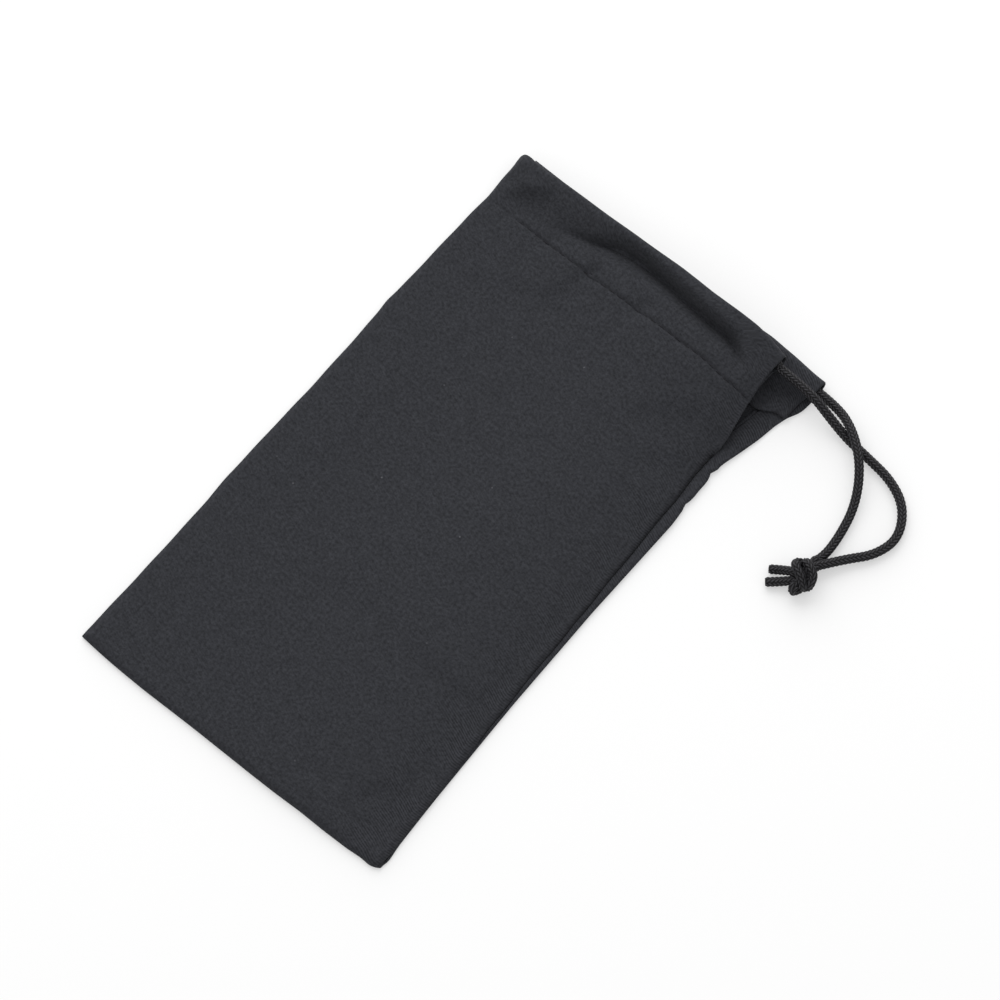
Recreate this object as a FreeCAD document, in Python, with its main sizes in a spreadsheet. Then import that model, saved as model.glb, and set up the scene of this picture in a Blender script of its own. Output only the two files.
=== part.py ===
"""A soft drawstring pouch for a pair of glasses, lying on its back.

Frame: millimetres, +Z up, the back panel on z = 0.  +X runs across the pouch
towards the side where the cord comes out, +Y towards the mouth.  The origin is
under the middle of the cloth.

The cloth is folded at the left edge and sewn along the bottom and the right
side.  The mouth is turned in as a casing, front and back, with a slit at the
right where both casings let the drawcord out.
"""
import FreeCAD, Part
import math
import os
import Sketcher
from FreeCAD import Vector

doc = FreeCAD.newDocument("glasses_pouch")
sheet = doc.addObject("Spreadsheet::Sheet", "Sizes")

SIZES = [
    ("pouch_width", 100.0),       # left fold to the right-hand corners
    ("pouch_length", 176.5),      # bottom seam to the mouth
    ("cloth", 0.4),               # thickness of one layer of the twill
    ("casing_depth", 16.0),       # mouth edge to the casing's topstitching
    ("ridge_depth", 8.0),         # full-height part of a casing, from the mouth edge
    ("nose_round", 1.3),          # bevel of a casing's mouth edge
    ("slit_length", 31.0),        # mouth edge down to the end of the side seam
    ("rim", 1.0),                 # width of the front panel's sewn edges
    ("crown_bottom", 0.3),        # arch of the front panel over its edges, from the
    ("crown_low", 5.6),           # bottom seam up to the casing
    ("crown_middle", 7.2),
    ("crown_high", 7.5),
    ("crown_slit", 7.6),
    ("crown_mouth", 7.6),
    ("low_rise", 28.25),          # bottom seam up to where the arch is nearly full
    ("slit_drop", 17.25),         # slit down to where the right edge is drawn in most
    ("inset_low", 1.8),           # how far the right edge lies inside the pouch's width
    ("inset_middle", 3.9),
    ("inset_high", 4.9),
    ("inset_slit", 4.6),
    ("inset_mouth", 1.2),
    ("roll_bottom", 0.5),         # strip of back panel rolled up outside the side seam
    ("roll_low", 0.9),
    ("roll_middle", 1.7),
    ("roll_high", 2.5),
    ("roll_slit", 3.4),
    ("slit_opening", 8.2),        # back panel laid bare at the top of the slit
    ("roll_height", 1.7),
    ("casing_step", 9.0),         # how far the front casing stops short of the back one
    ("mouth_gap", 4.3),           # between the two casings at the middle of the mouth
    ("mouth_flat", 7.5),          # half of the flat top of the mouth's arch
    ("end_flat", 5.0),            # level stretch at the front casing's right end
    ("tail_gap", 7.0),            # rise of the front casing's lower edge at the crown
    ("left_seat", 1.5),           # where the two casings lie on each other at the fold
    ("seam_allowance", 7.0),      # turned-in cloth beside a seam
    ("layer_gap", 0.05),          # air between two layers that lie on each other
    ("hem_width", 5.0),           # turned-in cloth beside the slit
    ("thread", 0.35),             # sewing thread
    ("stitch_pitch", 2.8),
    ("stitch_gap", 0.5),
    ("overlock_pitch", 3.0),
    ("overlock_bite", 2.5),
    ("bartack_pitch", 0.5),
    ("bartack_count", 7.0),
    ("bartack_width", 2.4),
    ("cord", 2.6),                # diameter of the braided drawcord
    ("cord_room", 0.2),           # air between the cord and a casing's walls
    ("front_cord_gap", 3.3),      # from the cord to the fold of the front casing
    ("back_cord_gap", 0.5),       # and to the fold of the back one, where it leaves
    ("knot_long", 5.6),           # half sizes of the knot
    ("knot_wide", 4.3),
    ("knot_tall", 3.3),
    ("knot_turn", -48.0),
]

for row, (alias, number) in enumerate(SIZES, start=1):
    sheet.set(f"A{row}", alias)
    sheet.set(f"B{row}", str(number))
    sheet.setAlias(f"B{row}", alias)
doc.recompute()

# Places that several sub-parts share, as expressions on the sheet.
RIGHT = "(Sizes.pouch_width / 2)"
LEFT = "(-Sizes.pouch_width / 2)"
TOP = "(Sizes.pouch_length / 2)"
BOTTOM = "(-Sizes.pouch_length / 2)"
STITCH_LINE = f"({TOP} - Sizes.casing_depth)"
SLIT_END = f"({TOP} - Sizes.slit_length)"
RIDGE = f"({TOP} - Sizes.ridge_depth)"
HOLLOW = "(Sizes.cord + 2 * Sizes.cord_room)"
STACK = f"({HOLLOW} + 2 * Sizes.cloth)"
TAIL = "(3 * Sizes.cloth)"
EDGE_HEIGHT = "(3 * Sizes.cloth + 3 * Sizes.layer_gap)"
LOW_STATION = f"({BOTTOM} + Sizes.low_rise)"
HIGH_STATION = f"({SLIT_END} - Sizes.slit_drop)"
MIDDLE_STATION = f"(({LOW_STATION} + {HIGH_STATION}) / 2)"
FRONT_END = f"({RIGHT} - Sizes.casing_step)"
MOUTH_MIDDLE = f"(({LEFT} + {FRONT_END}) / 2)"
MOUTH_REACH = f"(({FRONT_END} - {LEFT}) / 2)"

# The rolled margin's inner edge stands this share of its top's height, and the
# back hem of the slit takes the same share of its width.
ROLL_SHOULDER = 0.8
# Each bend of the free cord takes this share of the shorter run beside it.
FREE_BEND = 0.45
# The same inside a casing, where the bends are slight, with their largest radius.
CASED_BEND = 0.49
CASED_RADIUS = 40.0

# The right-hand edge from the bottom corner up to the casing: place along Y, how
# far it is drawn in, the width of back panel outside the side seam, and the arch
# of the front panel.
EDGE = [
    (BOTTOM, "0", "Sizes.roll_bottom", "Sizes.crown_bottom"),
    (LOW_STATION, "Sizes.inset_low", "Sizes.roll_low", "Sizes.crown_low"),
    (MIDDLE_STATION, "Sizes.inset_middle", "Sizes.roll_middle", "Sizes.crown_middle"),
    (HIGH_STATION, "Sizes.inset_high", "Sizes.roll_high", "Sizes.crown_high"),
    (SLIT_END, "Sizes.inset_slit", "Sizes.roll_slit", "Sizes.crown_slit"),
    (STITCH_LINE, "Sizes.inset_mouth", "Sizes.slit_opening", "Sizes.crown_mouth"),
]


def value(expression):
    """The number that an expression on the sheet stands for."""
    number = sheet.evalExpression(expression)
    return float(getattr(number, "Value", number))


def outline_x(inset):
    return f"({RIGHT} - {inset})"


def seam_x(inset, roll):
    return f"({RIGHT} - {inset} - {roll})"


def new_body(label):
    body = doc.addObject("PartDesign::Body", label)
    body.Label = label
    body.Placement = FreeCAD.Placement()
    return body


def new_feature(label, shape):
    feature = doc.addObject("Part::Feature", label)
    feature.Label = label
    feature.Shape = shape
    feature.Placement = FreeCAD.Placement()


def new_sketch(body, name, role, offset):
    """A sketch on one of the body's own planes, moved along its normal."""
    plane = next(item for item in body.Origin.OriginFeatures if item.Role == role)
    sketch = body.newObject("Sketcher::SketchObject", name)
    sketch.AttachmentSupport = [(plane, "")]
    sketch.MapMode = "FlatFace"
    sketch.setExpression("AttachmentOffset.Base.z", offset)
    return sketch


def pin_point(sketch, geometry, end, across, up):
    """Hold one end of a line or an arc at a place given by two expressions."""
    for kind, expression in (("DistanceX", across), ("DistanceY", up)):
        rule = Sketcher.Constraint(kind, geometry, end, value(expression))
        index = sketch.addConstraint(rule)
        sketch.setExpression(f"Constraints[{index}]", expression)


def polygon(body, name, role, offset, corners):
    """A closed outline of straight lines through corners given as expressions."""
    sketch = new_sketch(body, name, role, offset)
    points = [Vector(value(across), value(up), 0) for across, up in corners]
    count = len(points)
    for i in range(count):
        sketch.addGeometry(Part.LineSegment(points[i], points[(i + 1) % count]))
    for i in range(count):
        sketch.addConstraint(Sketcher.Constraint("Coincident", i, 2, (i + 1) % count, 1))
    for i, (across, up) in enumerate(corners):
        pin_point(sketch, i, 1, across, up)
    return sketch


def arch(body, name, along_y, left, right, edge, crown):
    """A section that stands on the back panel: straight edges under a wide arc."""
    sketch = new_sketch(body, name, "XZ_Plane", f"-{along_y}")
    shoulder = f"(Sizes.cloth + {edge})"
    peak = f"({shoulder} + {crown})"
    corners = [(left, "Sizes.cloth"), (right, "Sizes.cloth"), (right, shoulder), (left, shoulder)]
    foot_left, foot_right, top_right, top_left = [
        Vector(value(across), value(up), 0) for across, up in corners]
    middle = Vector((top_left.x + top_right.x) / 2, value(peak), 0)
    sketch.addGeometry(Part.LineSegment(foot_left, foot_right))
    sketch.addGeometry(Part.LineSegment(foot_right, top_right))
    sketch.addGeometry(Part.Arc(top_right, middle, top_left))
    sketch.addGeometry(Part.LineSegment(top_left, foot_left))
    for i in range(4):
        sketch.addConstraint(Sketcher.Constraint("Coincident", i, 2, (i + 1) % 4, 1))
    for i, (across, up) in enumerate(corners):
        pin_point(sketch, i, 1, across, up)
    radius = f"((({right} - {left}) / 2)^2 + {crown}^2) / (2 * {crown})"
    index = sketch.addConstraint(Sketcher.Constraint("Radius", 2, value(radius)))
    sketch.setExpression(f"Constraints[{index}]", radius)
    return sketch


def loft(body, kind, name, sections):
    """An AdditiveLoft or SubtractiveLoft with flat sides between its sections."""
    feature = body.newObject(f"PartDesign::{kind}", name)
    feature.Profile = sections[0]
    feature.Sections = sections[1:]
    feature.Ruled = True
    body.Tip = feature


def pad(body, name, sketch, length):
    feature = body.newObject("PartDesign::Pad", name)
    feature.Profile = sketch
    feature.setExpression("Length", length)
    body.Tip = feature


def pocket(body, name, sketch, length):
    """A cut on the side that the sketch's normal points to."""
    feature = body.newObject("PartDesign::Pocket", name)
    feature.Profile = sketch
    feature.Reversed = True
    feature.setExpression("Length", length)
    body.Tip = feature


# ---------------------------------------------------------------- cloth

def make_back_panel():
    """Flat sheet with its right margin rolled up beside the side seam."""
    body = new_body("back_panel")
    right_side = [(outline_x(inset), along) for along, inset, roll, crown in EDGE]
    corners = [(LEFT, BOTTOM)] + right_side + [(LEFT, STITCH_LINE)]
    sheet_outline = polygon(body, "back_outline", "XY_Plane", "0", corners)
    pad(body, "back_sheet", sheet_outline, "Sizes.cloth")
    sections = []
    for i, (along, inset, roll, crown) in enumerate(EDGE[:-1]):
        inner = f"({seam_x(inset, roll)} + Sizes.layer_gap)"
        outer = outline_x(inset)
        share = f"(Sizes.roll_height * {roll} / Sizes.roll_slit)"
        corners = [
            (inner, "Sizes.cloth"),
            (outer, "Sizes.cloth"),
            (outer, f"(Sizes.cloth + {share} / 2)"),
            (f"(({inner} + {outer}) / 2)", f"(Sizes.cloth + {share})"),
            (inner, f"(Sizes.cloth + {share} * {ROLL_SHOULDER})"),
        ]
        sections.append(polygon(body, f"roll_{i}", "XZ_Plane", f"-{along}", corners))
    loft(body, "AdditiveLoft", "rolled_margin", sections)


def make_front_panel():
    """Low arch over the back panel, open towards the mouth."""
    body = new_body("front_panel")
    outside = []
    inside = []
    for i, (along, inset, roll, crown) in enumerate(EDGE):
        outside.append(arch(body, f"front_outside_{i}", along, LEFT, seam_x(inset, roll),
                            EDGE_HEIGHT, crown))
    loft(body, "AdditiveLoft", "front_cloth", outside)
    for i, (along, inset, roll, crown) in enumerate(EDGE):
        place = f"({BOTTOM} + Sizes.rim)" if i == 0 else along
        right = f"({seam_x(inset, roll)} - Sizes.rim)"
        inside.append(arch(body, f"front_inside_{i}", place, f"({LEFT} + Sizes.rim)", right,
                           f"({EDGE_HEIGHT} - Sizes.cloth)", crown))
    loft(body, "SubtractiveLoft", "front_room", inside)


def casing_profile(tail, ridge):
    """Outline of a casing in the YZ plane, tail and ridge being the heights of its
    underside at the topstitching and along the cord."""
    nose = f"({TOP} - Sizes.nose_round)"
    return [
        (STITCH_LINE, tail),
        (RIDGE, ridge),
        (nose, ridge),
        (TOP, f"({ridge} + Sizes.nose_round)"),
        (TOP, f"({ridge} + {STACK} - Sizes.nose_round)"),
        (nose, f"({ridge} + {STACK})"),
        (RIDGE, f"({ridge} + {STACK})"),
        (STITCH_LINE, f"({tail} + {TAIL})"),
    ]


def channel_profile(tail, ridge):
    """Outline of the room for the cord inside the same casing."""
    nose = f"({TOP} - Sizes.nose_round - Sizes.cloth / 2)"
    top = f"({TOP} - Sizes.cloth)"
    low = f"({ridge} + Sizes.cloth)"
    high = f"({ridge} + {STACK} - Sizes.cloth)"
    neck = f"(({STITCH_LINE} + {RIDGE}) / 2)"
    return [
        (neck, f"(({tail} + {ridge}) / 2 + Sizes.cloth)"),
        (RIDGE, low),
        (nose, low),
        (top, f"({low} + Sizes.nose_round - Sizes.cloth / 2)"),
        (top, f"({high} - Sizes.nose_round + Sizes.cloth / 2)"),
        (nose, high),
        (RIDGE, high),
        (neck, f"(({tail} + {TAIL} + {ridge} + {STACK}) / 2 - Sizes.cloth)"),
    ]


def turn_room(body, base, depth):
    """Cut away the wall between the casings where the cord turns at the fold."""
    corners = [
        (f"({LEFT} + Sizes.cloth)", RIDGE),
        (f"({LEFT} + Sizes.cloth + 2 * Sizes.cord)", RIDGE),
        (f"({LEFT} + Sizes.cloth + 2 * Sizes.cord)", f"({TOP} - Sizes.nose_round)"),
        (f"({LEFT} + Sizes.cloth)", f"({TOP} - Sizes.nose_round)"),
    ]
    sketch = polygon(body, "turn_outline", "XY_Plane", base, corners)
    pocket(body, "turn_room", sketch, depth)


def make_back_casing():
    """Flat tube along the back half of the mouth, open at its right end."""
    body = new_body("back_casing")
    tube = polygon(body, "back_tube", "YZ_Plane", LEFT, casing_profile("0", "0"))
    # The tube lies flat, so its underside is one line and its tail is all on top.
    pad(body, "back_tube_cloth", tube, "Sizes.pouch_width")
    room = polygon(body, "back_channel", "YZ_Plane", f"({LEFT} + Sizes.cloth)",
                   channel_profile("0", "0"))
    pocket(body, "back_channel_room", room, "Sizes.pouch_width")
    turn_room(body, f"({STACK} - 2 * Sizes.cloth)", "3 * Sizes.cloth")


def mouth_share(place):
    """How far the mouth's arch has risen at a place along X, from 0 to 1."""
    return f"(1 - (({place} - {MOUTH_MIDDLE}) / {MOUTH_REACH})^2)"


# Sections of the front casing: place along X and share of the mouth's rise.
SEAT = f"({LEFT} + 3 * Sizes.left_seat)"
WEST = f"({MOUTH_MIDDLE} - 3 * Sizes.mouth_flat)"
EAST = f"({MOUTH_MIDDLE} + 3 * Sizes.mouth_flat)"
BRINK = f"({FRONT_END} - Sizes.end_flat)"
ARCH = [
    (LEFT, "0"),
    (f"({LEFT} + Sizes.left_seat)", "0"),
    (SEAT, mouth_share(SEAT)),
    (WEST, mouth_share(WEST)),
    (f"({MOUTH_MIDDLE} - Sizes.mouth_flat)", "1"),
    (f"({MOUTH_MIDDLE} + Sizes.mouth_flat)", "1"),
    (EAST, mouth_share(EAST)),
    (BRINK, mouth_share(BRINK)),
    (FRONT_END, mouth_share(BRINK)),
]


def ridge_height(share):
    """Underside of the front casing along the cord."""
    return f"({STACK} + Sizes.mouth_gap * {share})"


def tail_height(share):
    """Underside of the front casing along its topstitching."""
    return f"({TAIL} + Sizes.tail_gap * {share})"


def make_front_casing():
    """Arched tube along the front half of the mouth, open at its right end."""
    body = new_body("front_casing")
    outside = []
    inside = []
    for i, (place, share) in enumerate(ARCH):
        profile = casing_profile(tail_height(share), ridge_height(share))
        outside.append(polygon(body, f"arch_outside_{i}", "YZ_Plane", place, profile))
    loft(body, "AdditiveLoft", "arched_cloth", outside)
    for i, (place, share) in enumerate(ARCH):
        start = f"({LEFT} + Sizes.cloth)" if i == 0 else place
        profile = channel_profile(tail_height(share), ridge_height(share))
        inside.append(polygon(body, f"arch_inside_{i}", "YZ_Plane", start, profile))
    loft(body, "SubtractiveLoft", "arched_channel", inside)
    turn_room(body, f"({STACK} - Sizes.cloth)", "5 * Sizes.cloth")


def strip_body(label, corners, base):
    """One flat layer of turned-in cloth."""
    body = new_body(label)
    outline = polygon(body, f"{label}_outline", "XY_Plane", base, corners)
    pad(body, f"{label}_cloth", outline, "Sizes.cloth")


LOWER_LAYER = "(Sizes.cloth + Sizes.layer_gap)"
UPPER_LAYER = "(2 * Sizes.cloth + 1.5 * Sizes.layer_gap)"
BOTTOM_SEAM = f"({BOTTOM} + Sizes.rim + Sizes.layer_gap)"
BOTTOM_RAW = f"({BOTTOM_SEAM} + Sizes.seam_allowance)"
SIDE_START = f"({BOTTOM_RAW} + 2 * Sizes.thread)"


def edge_between(along, column):
    """The drawn-in distance or roll width at a place between two stations."""
    places = [value(row[0]) for row in EDGE]
    sizes = [value(row[column]) for row in EDGE]
    for i in range(len(places) - 1):
        if places[i] <= along <= places[i + 1]:
            part = (along - places[i]) / (places[i + 1] - places[i])
            return sizes[i] + part * (sizes[i + 1] - sizes[i])
    return sizes[-1]


def side_strip(first, last, outer_gap, width):
    """Corners of a strip inside the side seam, between two stations of EDGE."""
    outer = []
    inner = []
    for along, inset, roll, crown in EDGE[first:last + 1]:
        edge = f"({seam_x(inset, roll)} - {outer_gap})"
        outer.append((edge, along))
        inner.append((f"({edge} - {width})", along))
    return outer, inner


def make_seam_allowances():
    """The two turned-in layers inside the side seam and inside the bottom seam."""
    gap = "(Sizes.rim + Sizes.layer_gap)"
    outer, inner = side_strip(1, 4, gap, "Sizes.seam_allowance")
    # The strips run on below the first station, down to the bottom seam's own.
    part = f"(({SIDE_START} - {BOTTOM}) / Sizes.low_rise)"
    low_edge = (f"({RIGHT} - {part} * Sizes.inset_low - (1 - {part}) * Sizes.roll_bottom"
                f" - {part} * Sizes.roll_low - {gap})")
    outer.insert(0, (low_edge, SIDE_START))
    inner.insert(0, (f"({low_edge} - Sizes.seam_allowance)", SIDE_START))
    corners = outer + inner[::-1]
    strip_body("side_allowance_back", corners, LOWER_LAYER)
    strip_body("side_allowance_front", corners, UPPER_LAYER)
    end = f"({RIGHT} - Sizes.roll_bottom - 3 * Sizes.rim)"
    start = f"({LEFT} + 3 * Sizes.rim)"
    corners = [(start, BOTTOM_SEAM), (end, BOTTOM_SEAM), (end, BOTTOM_RAW), (start, BOTTOM_RAW)]
    strip_body("bottom_allowance_back", corners, LOWER_LAYER)
    strip_body("bottom_allowance_front", corners, UPPER_LAYER)


def make_slit_hems():
    """Cloth turned in along both edges of the slit."""
    start = f"({SLIT_END} + 4 * Sizes.layer_gap)"
    end = f"({STITCH_LINE} - 4 * Sizes.layer_gap)"
    low, high = EDGE[4], EDGE[5]
    low_seam = f"({seam_x(low[1], low[2])} - Sizes.rim - 4 * Sizes.layer_gap)"
    high_seam = f"({seam_x(high[1], high[2])} - Sizes.rim - 4 * Sizes.layer_gap)"
    corners = [(f"({low_seam} - Sizes.hem_width)", start), (low_seam, start),
               (high_seam, end), (f"({high_seam} - Sizes.hem_width)", end)]
    strip_body("slit_hem_front", corners, UPPER_LAYER)
    low_out = f"({outline_x(low[1])})"
    high_out = f"({outline_x(high[1])} - 4 * Sizes.layer_gap)"
    corners = [(f"({low_out} - Sizes.roll_slit * {ROLL_SHOULDER})", start), (low_out, start),
               (high_out, end), (f"({high_out} - Sizes.hem_width)", end)]
    strip_body("slit_hem_back", corners, LOWER_LAYER)


# ---------------------------------------------------------------- thread

def thread_run(start, end, radius):
    """One straight length of thread lying on the cloth between two points."""
    lift = Vector(0, 0, radius)
    direction = end - start
    return Part.makeCylinder(radius, direction.Length, start + lift, direction)


def stitch_row(label, surface, first, last):
    """A row of stitches from first to last; surface gives the point at a place."""
    pitch = value("Sizes.stitch_pitch")
    radius = value("Sizes.thread") / 2
    length = pitch - value("Sizes.stitch_gap")
    count = int((last - first) / pitch)
    runs = []
    for i in range(count):
        place = first + i * pitch
        runs.append(thread_run(surface(place), surface(place + length), radius))
    new_feature(label, Part.makeCompound(runs))


def casing_station(place):
    """Heights of the front casing's underside, tail and ridge, at a place along X."""
    places = [value(row[0]) for row in ARCH]
    tails = [value(tail_height(row[1])) for row in ARCH]
    ridges = [value(ridge_height(row[1])) for row in ARCH]
    for i in range(len(places) - 1):
        if places[i] <= place <= places[i + 1]:
            part = (place - places[i]) / (places[i + 1] - places[i])
            tail = tails[i] + part * (tails[i + 1] - tails[i])
            ridge = ridges[i] + part * (ridges[i + 1] - ridges[i])
            return tail, ridge
    return tails[-1], ridges[-1]


def make_casing_stitches():
    """Topstitching of the front casing, and the back casing's row seen in the mouth."""
    stitch_line = value(STITCH_LINE)
    setback = 4 * value("Sizes.thread")
    slope = setback / (value(RIDGE) - stitch_line)
    tail_size = value(TAIL)
    stack = value(STACK)
    first = value(LEFT) + setback
    air = 2 * value("Sizes.layer_gap")

    def on_front(place):
        tail, ridge = casing_station(place)
        height = tail + tail_size + slope * (ridge + stack - tail - tail_size)
        return Vector(place, stitch_line + setback, height + air)

    def on_back(place):
        height = tail_size + slope * (stack - tail_size)
        return Vector(place, stitch_line + setback, height + air)

    stitch_row("front_casing_stitches", on_front, first + setback,
               value(FRONT_END) - setback)
    stitch_row("back_casing_stitches", on_back, value(f"{MOUTH_MIDDLE} - Sizes.mouth_flat"),
               value(RIGHT) - setback)


def make_seam_stitches():
    """Lockstitch rows on the turned-in layers, beside the side and bottom edges."""
    top = value(UPPER_LAYER) + value("Sizes.cloth") + value("Sizes.layer_gap") / 2
    margin = value("Sizes.rim") + 6 * value("Sizes.thread")

    def beside_edge(place):
        across = value(RIGHT) - edge_between(place, 1) - edge_between(place, 2) - margin
        return Vector(across, place, top)

    def beside_bottom(place):
        return Vector(place, value(BOTTOM_SEAM) + margin, top)

    stitch_row("side_seam_stitches", beside_edge, value(LOW_STATION), value(SLIT_END))
    stitch_row("bottom_seam_stitches", beside_bottom, value(LEFT) + 8 * margin,
               value(RIGHT) - 8 * margin)


def overlock_loop(corner, inward):
    """Thread over a raw edge: flat along the top layer, then down the edge."""
    thread = value("Sizes.thread")
    bite = value("Sizes.overlock_bite")
    air = value("Sizes.layer_gap")
    drop = value(UPPER_LAYER) + value("Sizes.cloth") - value(LOWER_LAYER)
    outward = inward * -1
    across = inward.cross(Vector(0, 0, 1)) * thread
    top = corner + inward * bite + Vector(0, 0, air / 2)
    points = [
        top,
        corner + outward * air + Vector(0, 0, air / 2),
        corner + outward * air - Vector(0, 0, drop),
        corner + outward * (air + thread) - Vector(0, 0, drop),
        corner + outward * (air + thread) + Vector(0, 0, air / 2 + thread),
        top + Vector(0, 0, thread),
    ]
    face = Part.Face(Part.makePolygon(points + points[:1]))
    return face.extrude(across)


def make_overlocks():
    """Overlocked raw edges of the side and bottom seam allowances."""
    pitch = value("Sizes.overlock_pitch")
    height = value(UPPER_LAYER) + value("Sizes.cloth")
    reach = value("Sizes.rim + Sizes.layer_gap + Sizes.seam_allowance")
    loops = []
    place = value(LOW_STATION)
    while place < value(SLIT_END) - pitch:
        inset = edge_between(place, 1) + edge_between(place, 2)
        ahead = edge_between(place + pitch, 1) + edge_between(place + pitch, 2)
        slant = math.atan2(inset - ahead, pitch)
        inward = Vector(math.cos(slant), -math.sin(slant), 0)
        corner = Vector(value(RIGHT) - inset - reach, place, height)
        loops.append(overlock_loop(corner, inward))
        place += pitch
    new_feature("side_overlock", Part.makeCompound(loops))
    loops = []
    place = value(LEFT) + reach
    while place < value(RIGHT) - 2 * reach:
        corner = Vector(place, value(BOTTOM_RAW), height)
        loops.append(overlock_loop(corner, Vector(0, -1, 0)))
        place += pitch
    new_feature("bottom_overlock", Part.makeCompound(loops))


def make_bartack():
    """Close stitches across the top of the side seam, where the slit begins."""
    radius = value("Sizes.thread") / 2
    pitch = value("Sizes.bartack_pitch")
    half = value("Sizes.bartack_width") / 2
    middle = value(seam_x(EDGE[4][1], EDGE[4][2]))
    # The front panel's arch has risen this far under the stitches' inner end.
    rise = value("4 * Sizes.crown_slit * Sizes.bartack_width / 2") / (middle - value(LEFT))
    height = value(f"Sizes.cloth + {EDGE_HEIGHT} + Sizes.layer_gap") + rise
    runs = []
    for i in range(int(value("Sizes.bartack_count"))):
        along = value(SLIT_END) - radius - i * pitch
        start = Vector(middle - half, along, height)
        runs.append(thread_run(start, start + Vector(2 * half, 0, 0), radius))
    new_feature("slit_bartack", Part.makeCompound(runs))


# ---------------------------------------------------------------- cord

def cord_wire(points, share, limit):
    """Straight runs through the points joined by tangent arcs, with their radii.
    An arc takes a share of its shorter run, up to the radius limit if there is one."""
    edges = []
    radii = []
    start = points[0]
    for i in range(1, len(points) - 1):
        before = points[i] - points[i - 1]
        after = points[i + 1] - points[i]
        turn = before.getAngle(after)
        setback = share * min(before.Length, after.Length)
        radius = setback / math.tan(turn / 2)
        if limit and radius > limit:
            radius = limit
            setback = radius * math.tan(turn / 2)
        into = before.normalize()
        away = after.normalize()
        entry = points[i] - into * setback
        leave = points[i] + away * setback
        bisector = (away - into).normalize()
        middle = points[i] + bisector * (radius / math.cos(turn / 2) - radius)
        if (entry - start).Length > 1e-6:
            edges.append(Part.LineSegment(start, entry).toShape())
        edges.append(Part.Arc(entry, middle, leave).toShape())
        radii.append(radius)
        start = leave
    edges.append(Part.LineSegment(start, points[-1]).toShape())
    return Part.Wire(edges), radii


def cord_tube(label, points, share=FREE_BEND, limit=None):
    """A round tube of the cord's diameter along the points."""
    wire, radii = cord_wire(points, share, limit)
    radius = value("Sizes.cord") / 2
    direction = points[1] - points[0]
    section = Part.Wire(Part.Circle(points[0], direction, radius).toShape())
    tube = wire.makePipeShell([section], True, False)
    expected = math.pi * radius ** 2 * wire.Length
    print(f"{label}: length {wire.Length:.2f}, radii {[round(r, 1) for r in radii]},"
          f" volume ratio {tube.Volume / expected:.4f}")
    new_feature(label, tube)


def make_cord_in_casing():
    """The cord's run through the front casing, round the fold and back."""
    fold = f"{TOP} - Sizes.cloth - Sizes.cord / 2"
    line = value(f"{fold} - Sizes.front_cord_gap")
    exit_line = value(f"{fold} - Sizes.back_cord_gap")
    middle = value(STACK) / 2
    turn_left = value(f"{LEFT} + Sizes.cloth + Sizes.cord_room + Sizes.cord / 2")
    rises = [(value(place), value(ridge_height(share)) + middle) for place, share in ARCH[2:]]
    # Past its third section the run keeps its slope down to the turn at the fold.
    slope = (rises[1][1] - rises[0][1]) / (rises[1][0] - rises[0][0])
    level = rises[0][1] - slope * (rises[0][0] - turn_left)
    straight = 4 * value("Sizes.cord")
    points = [Vector(place, line, height) for place, height in rises[:0:-1]]
    points.append(Vector(turn_left, line, level))
    points.append(Vector(turn_left, line, middle))
    points.append(Vector(turn_left + straight, line, middle))
    points.append(Vector(value(RIGHT) - straight, exit_line, middle))
    points.append(Vector(value(RIGHT), exit_line, middle))
    cord_tube("cord_in_casing", points, share=CASED_BEND, limit=CASED_RADIUS)
    return points[0], points[-1]


def beside_mouth(across, along, lift):
    """A point of the free cord, counted from the pouch's top right corner; lift is
    the height of the cord's centre line in diameters, so 0.52 lies on the surface."""
    return Vector(value(RIGHT) + across, value(TOP) + along, lift * value("Sizes.cord"))


def make_cord_legs(front_exit, back_exit):
    """The two free legs, each through points chosen by hand down to the knot.
    Each first runs straight on out of its casing, and the back one crosses over."""
    front = [front_exit, front_exit + Vector(10.2, 0, 0)] + [beside_mouth(*place) for place in (
        (9.4, -6.35, 1.27),
        (15.6, -7.25, 0.58),
        (23.0, -7.85, 0.52),
        (31.3, -8.75, 0.52),
        (38.3, -12.35, 0.52),
        (42.2, -19.45, 0.52),
        (41.0, -27.15, 0.52),
        (36.6, -33.05, 0.65),
        (32.4, -40.75, 1.73))]
    back = [back_exit, back_exit + Vector(8.0, 0, 0)] + [beside_mouth(*place) for place in (
        (15.0, -5.05, 1.54),
        (21.3, -9.55, 1.69),
        (26.0, -15.05, 1.15),
        (29.3, -21.45, 0.62),
        (31.1, -28.85, 0.52),
        (31.8, -35.65, 0.54),
        (31.4, -41.05, 0.73))]
    cord_tube("cord_leg_front", front)
    cord_tube("cord_leg_back", back)


def make_knot():
    """The overhand knot that both legs share, as one rounded lump."""
    knot = doc.addObject("Part::Ellipsoid", "cord_knot")
    knot.Label = "cord_knot"
    knot.setExpression("Radius1", "Sizes.knot_tall")
    knot.setExpression("Radius2", "Sizes.knot_long")
    knot.setExpression("Radius3", "Sizes.knot_wide")
    middle = beside_mouth(30.9, -44.65, 0)
    middle.z = value("Sizes.knot_tall + Sizes.layer_gap")
    turn = FreeCAD.Rotation(Vector(0, 0, 1), value("Sizes.knot_turn"))
    knot.Placement = FreeCAD.Placement(middle, turn)


def make_tails():
    """The two short cut ends beyond the knot."""
    radius = value("Sizes.cord") / 2
    for label, start, end in (
            ("cord_tail_front", (27.9, -44.65, 0.73), (23.6, -47.45, 0.52)),
            ("cord_tail_back", (29.7, -47.15, 0.73), (25.5, -50.75, 0.52))):
        foot = beside_mouth(*start)
        direction = beside_mouth(*end) - foot
        new_feature(label, Part.makeCylinder(radius, direction.Length, foot, direction))


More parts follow.
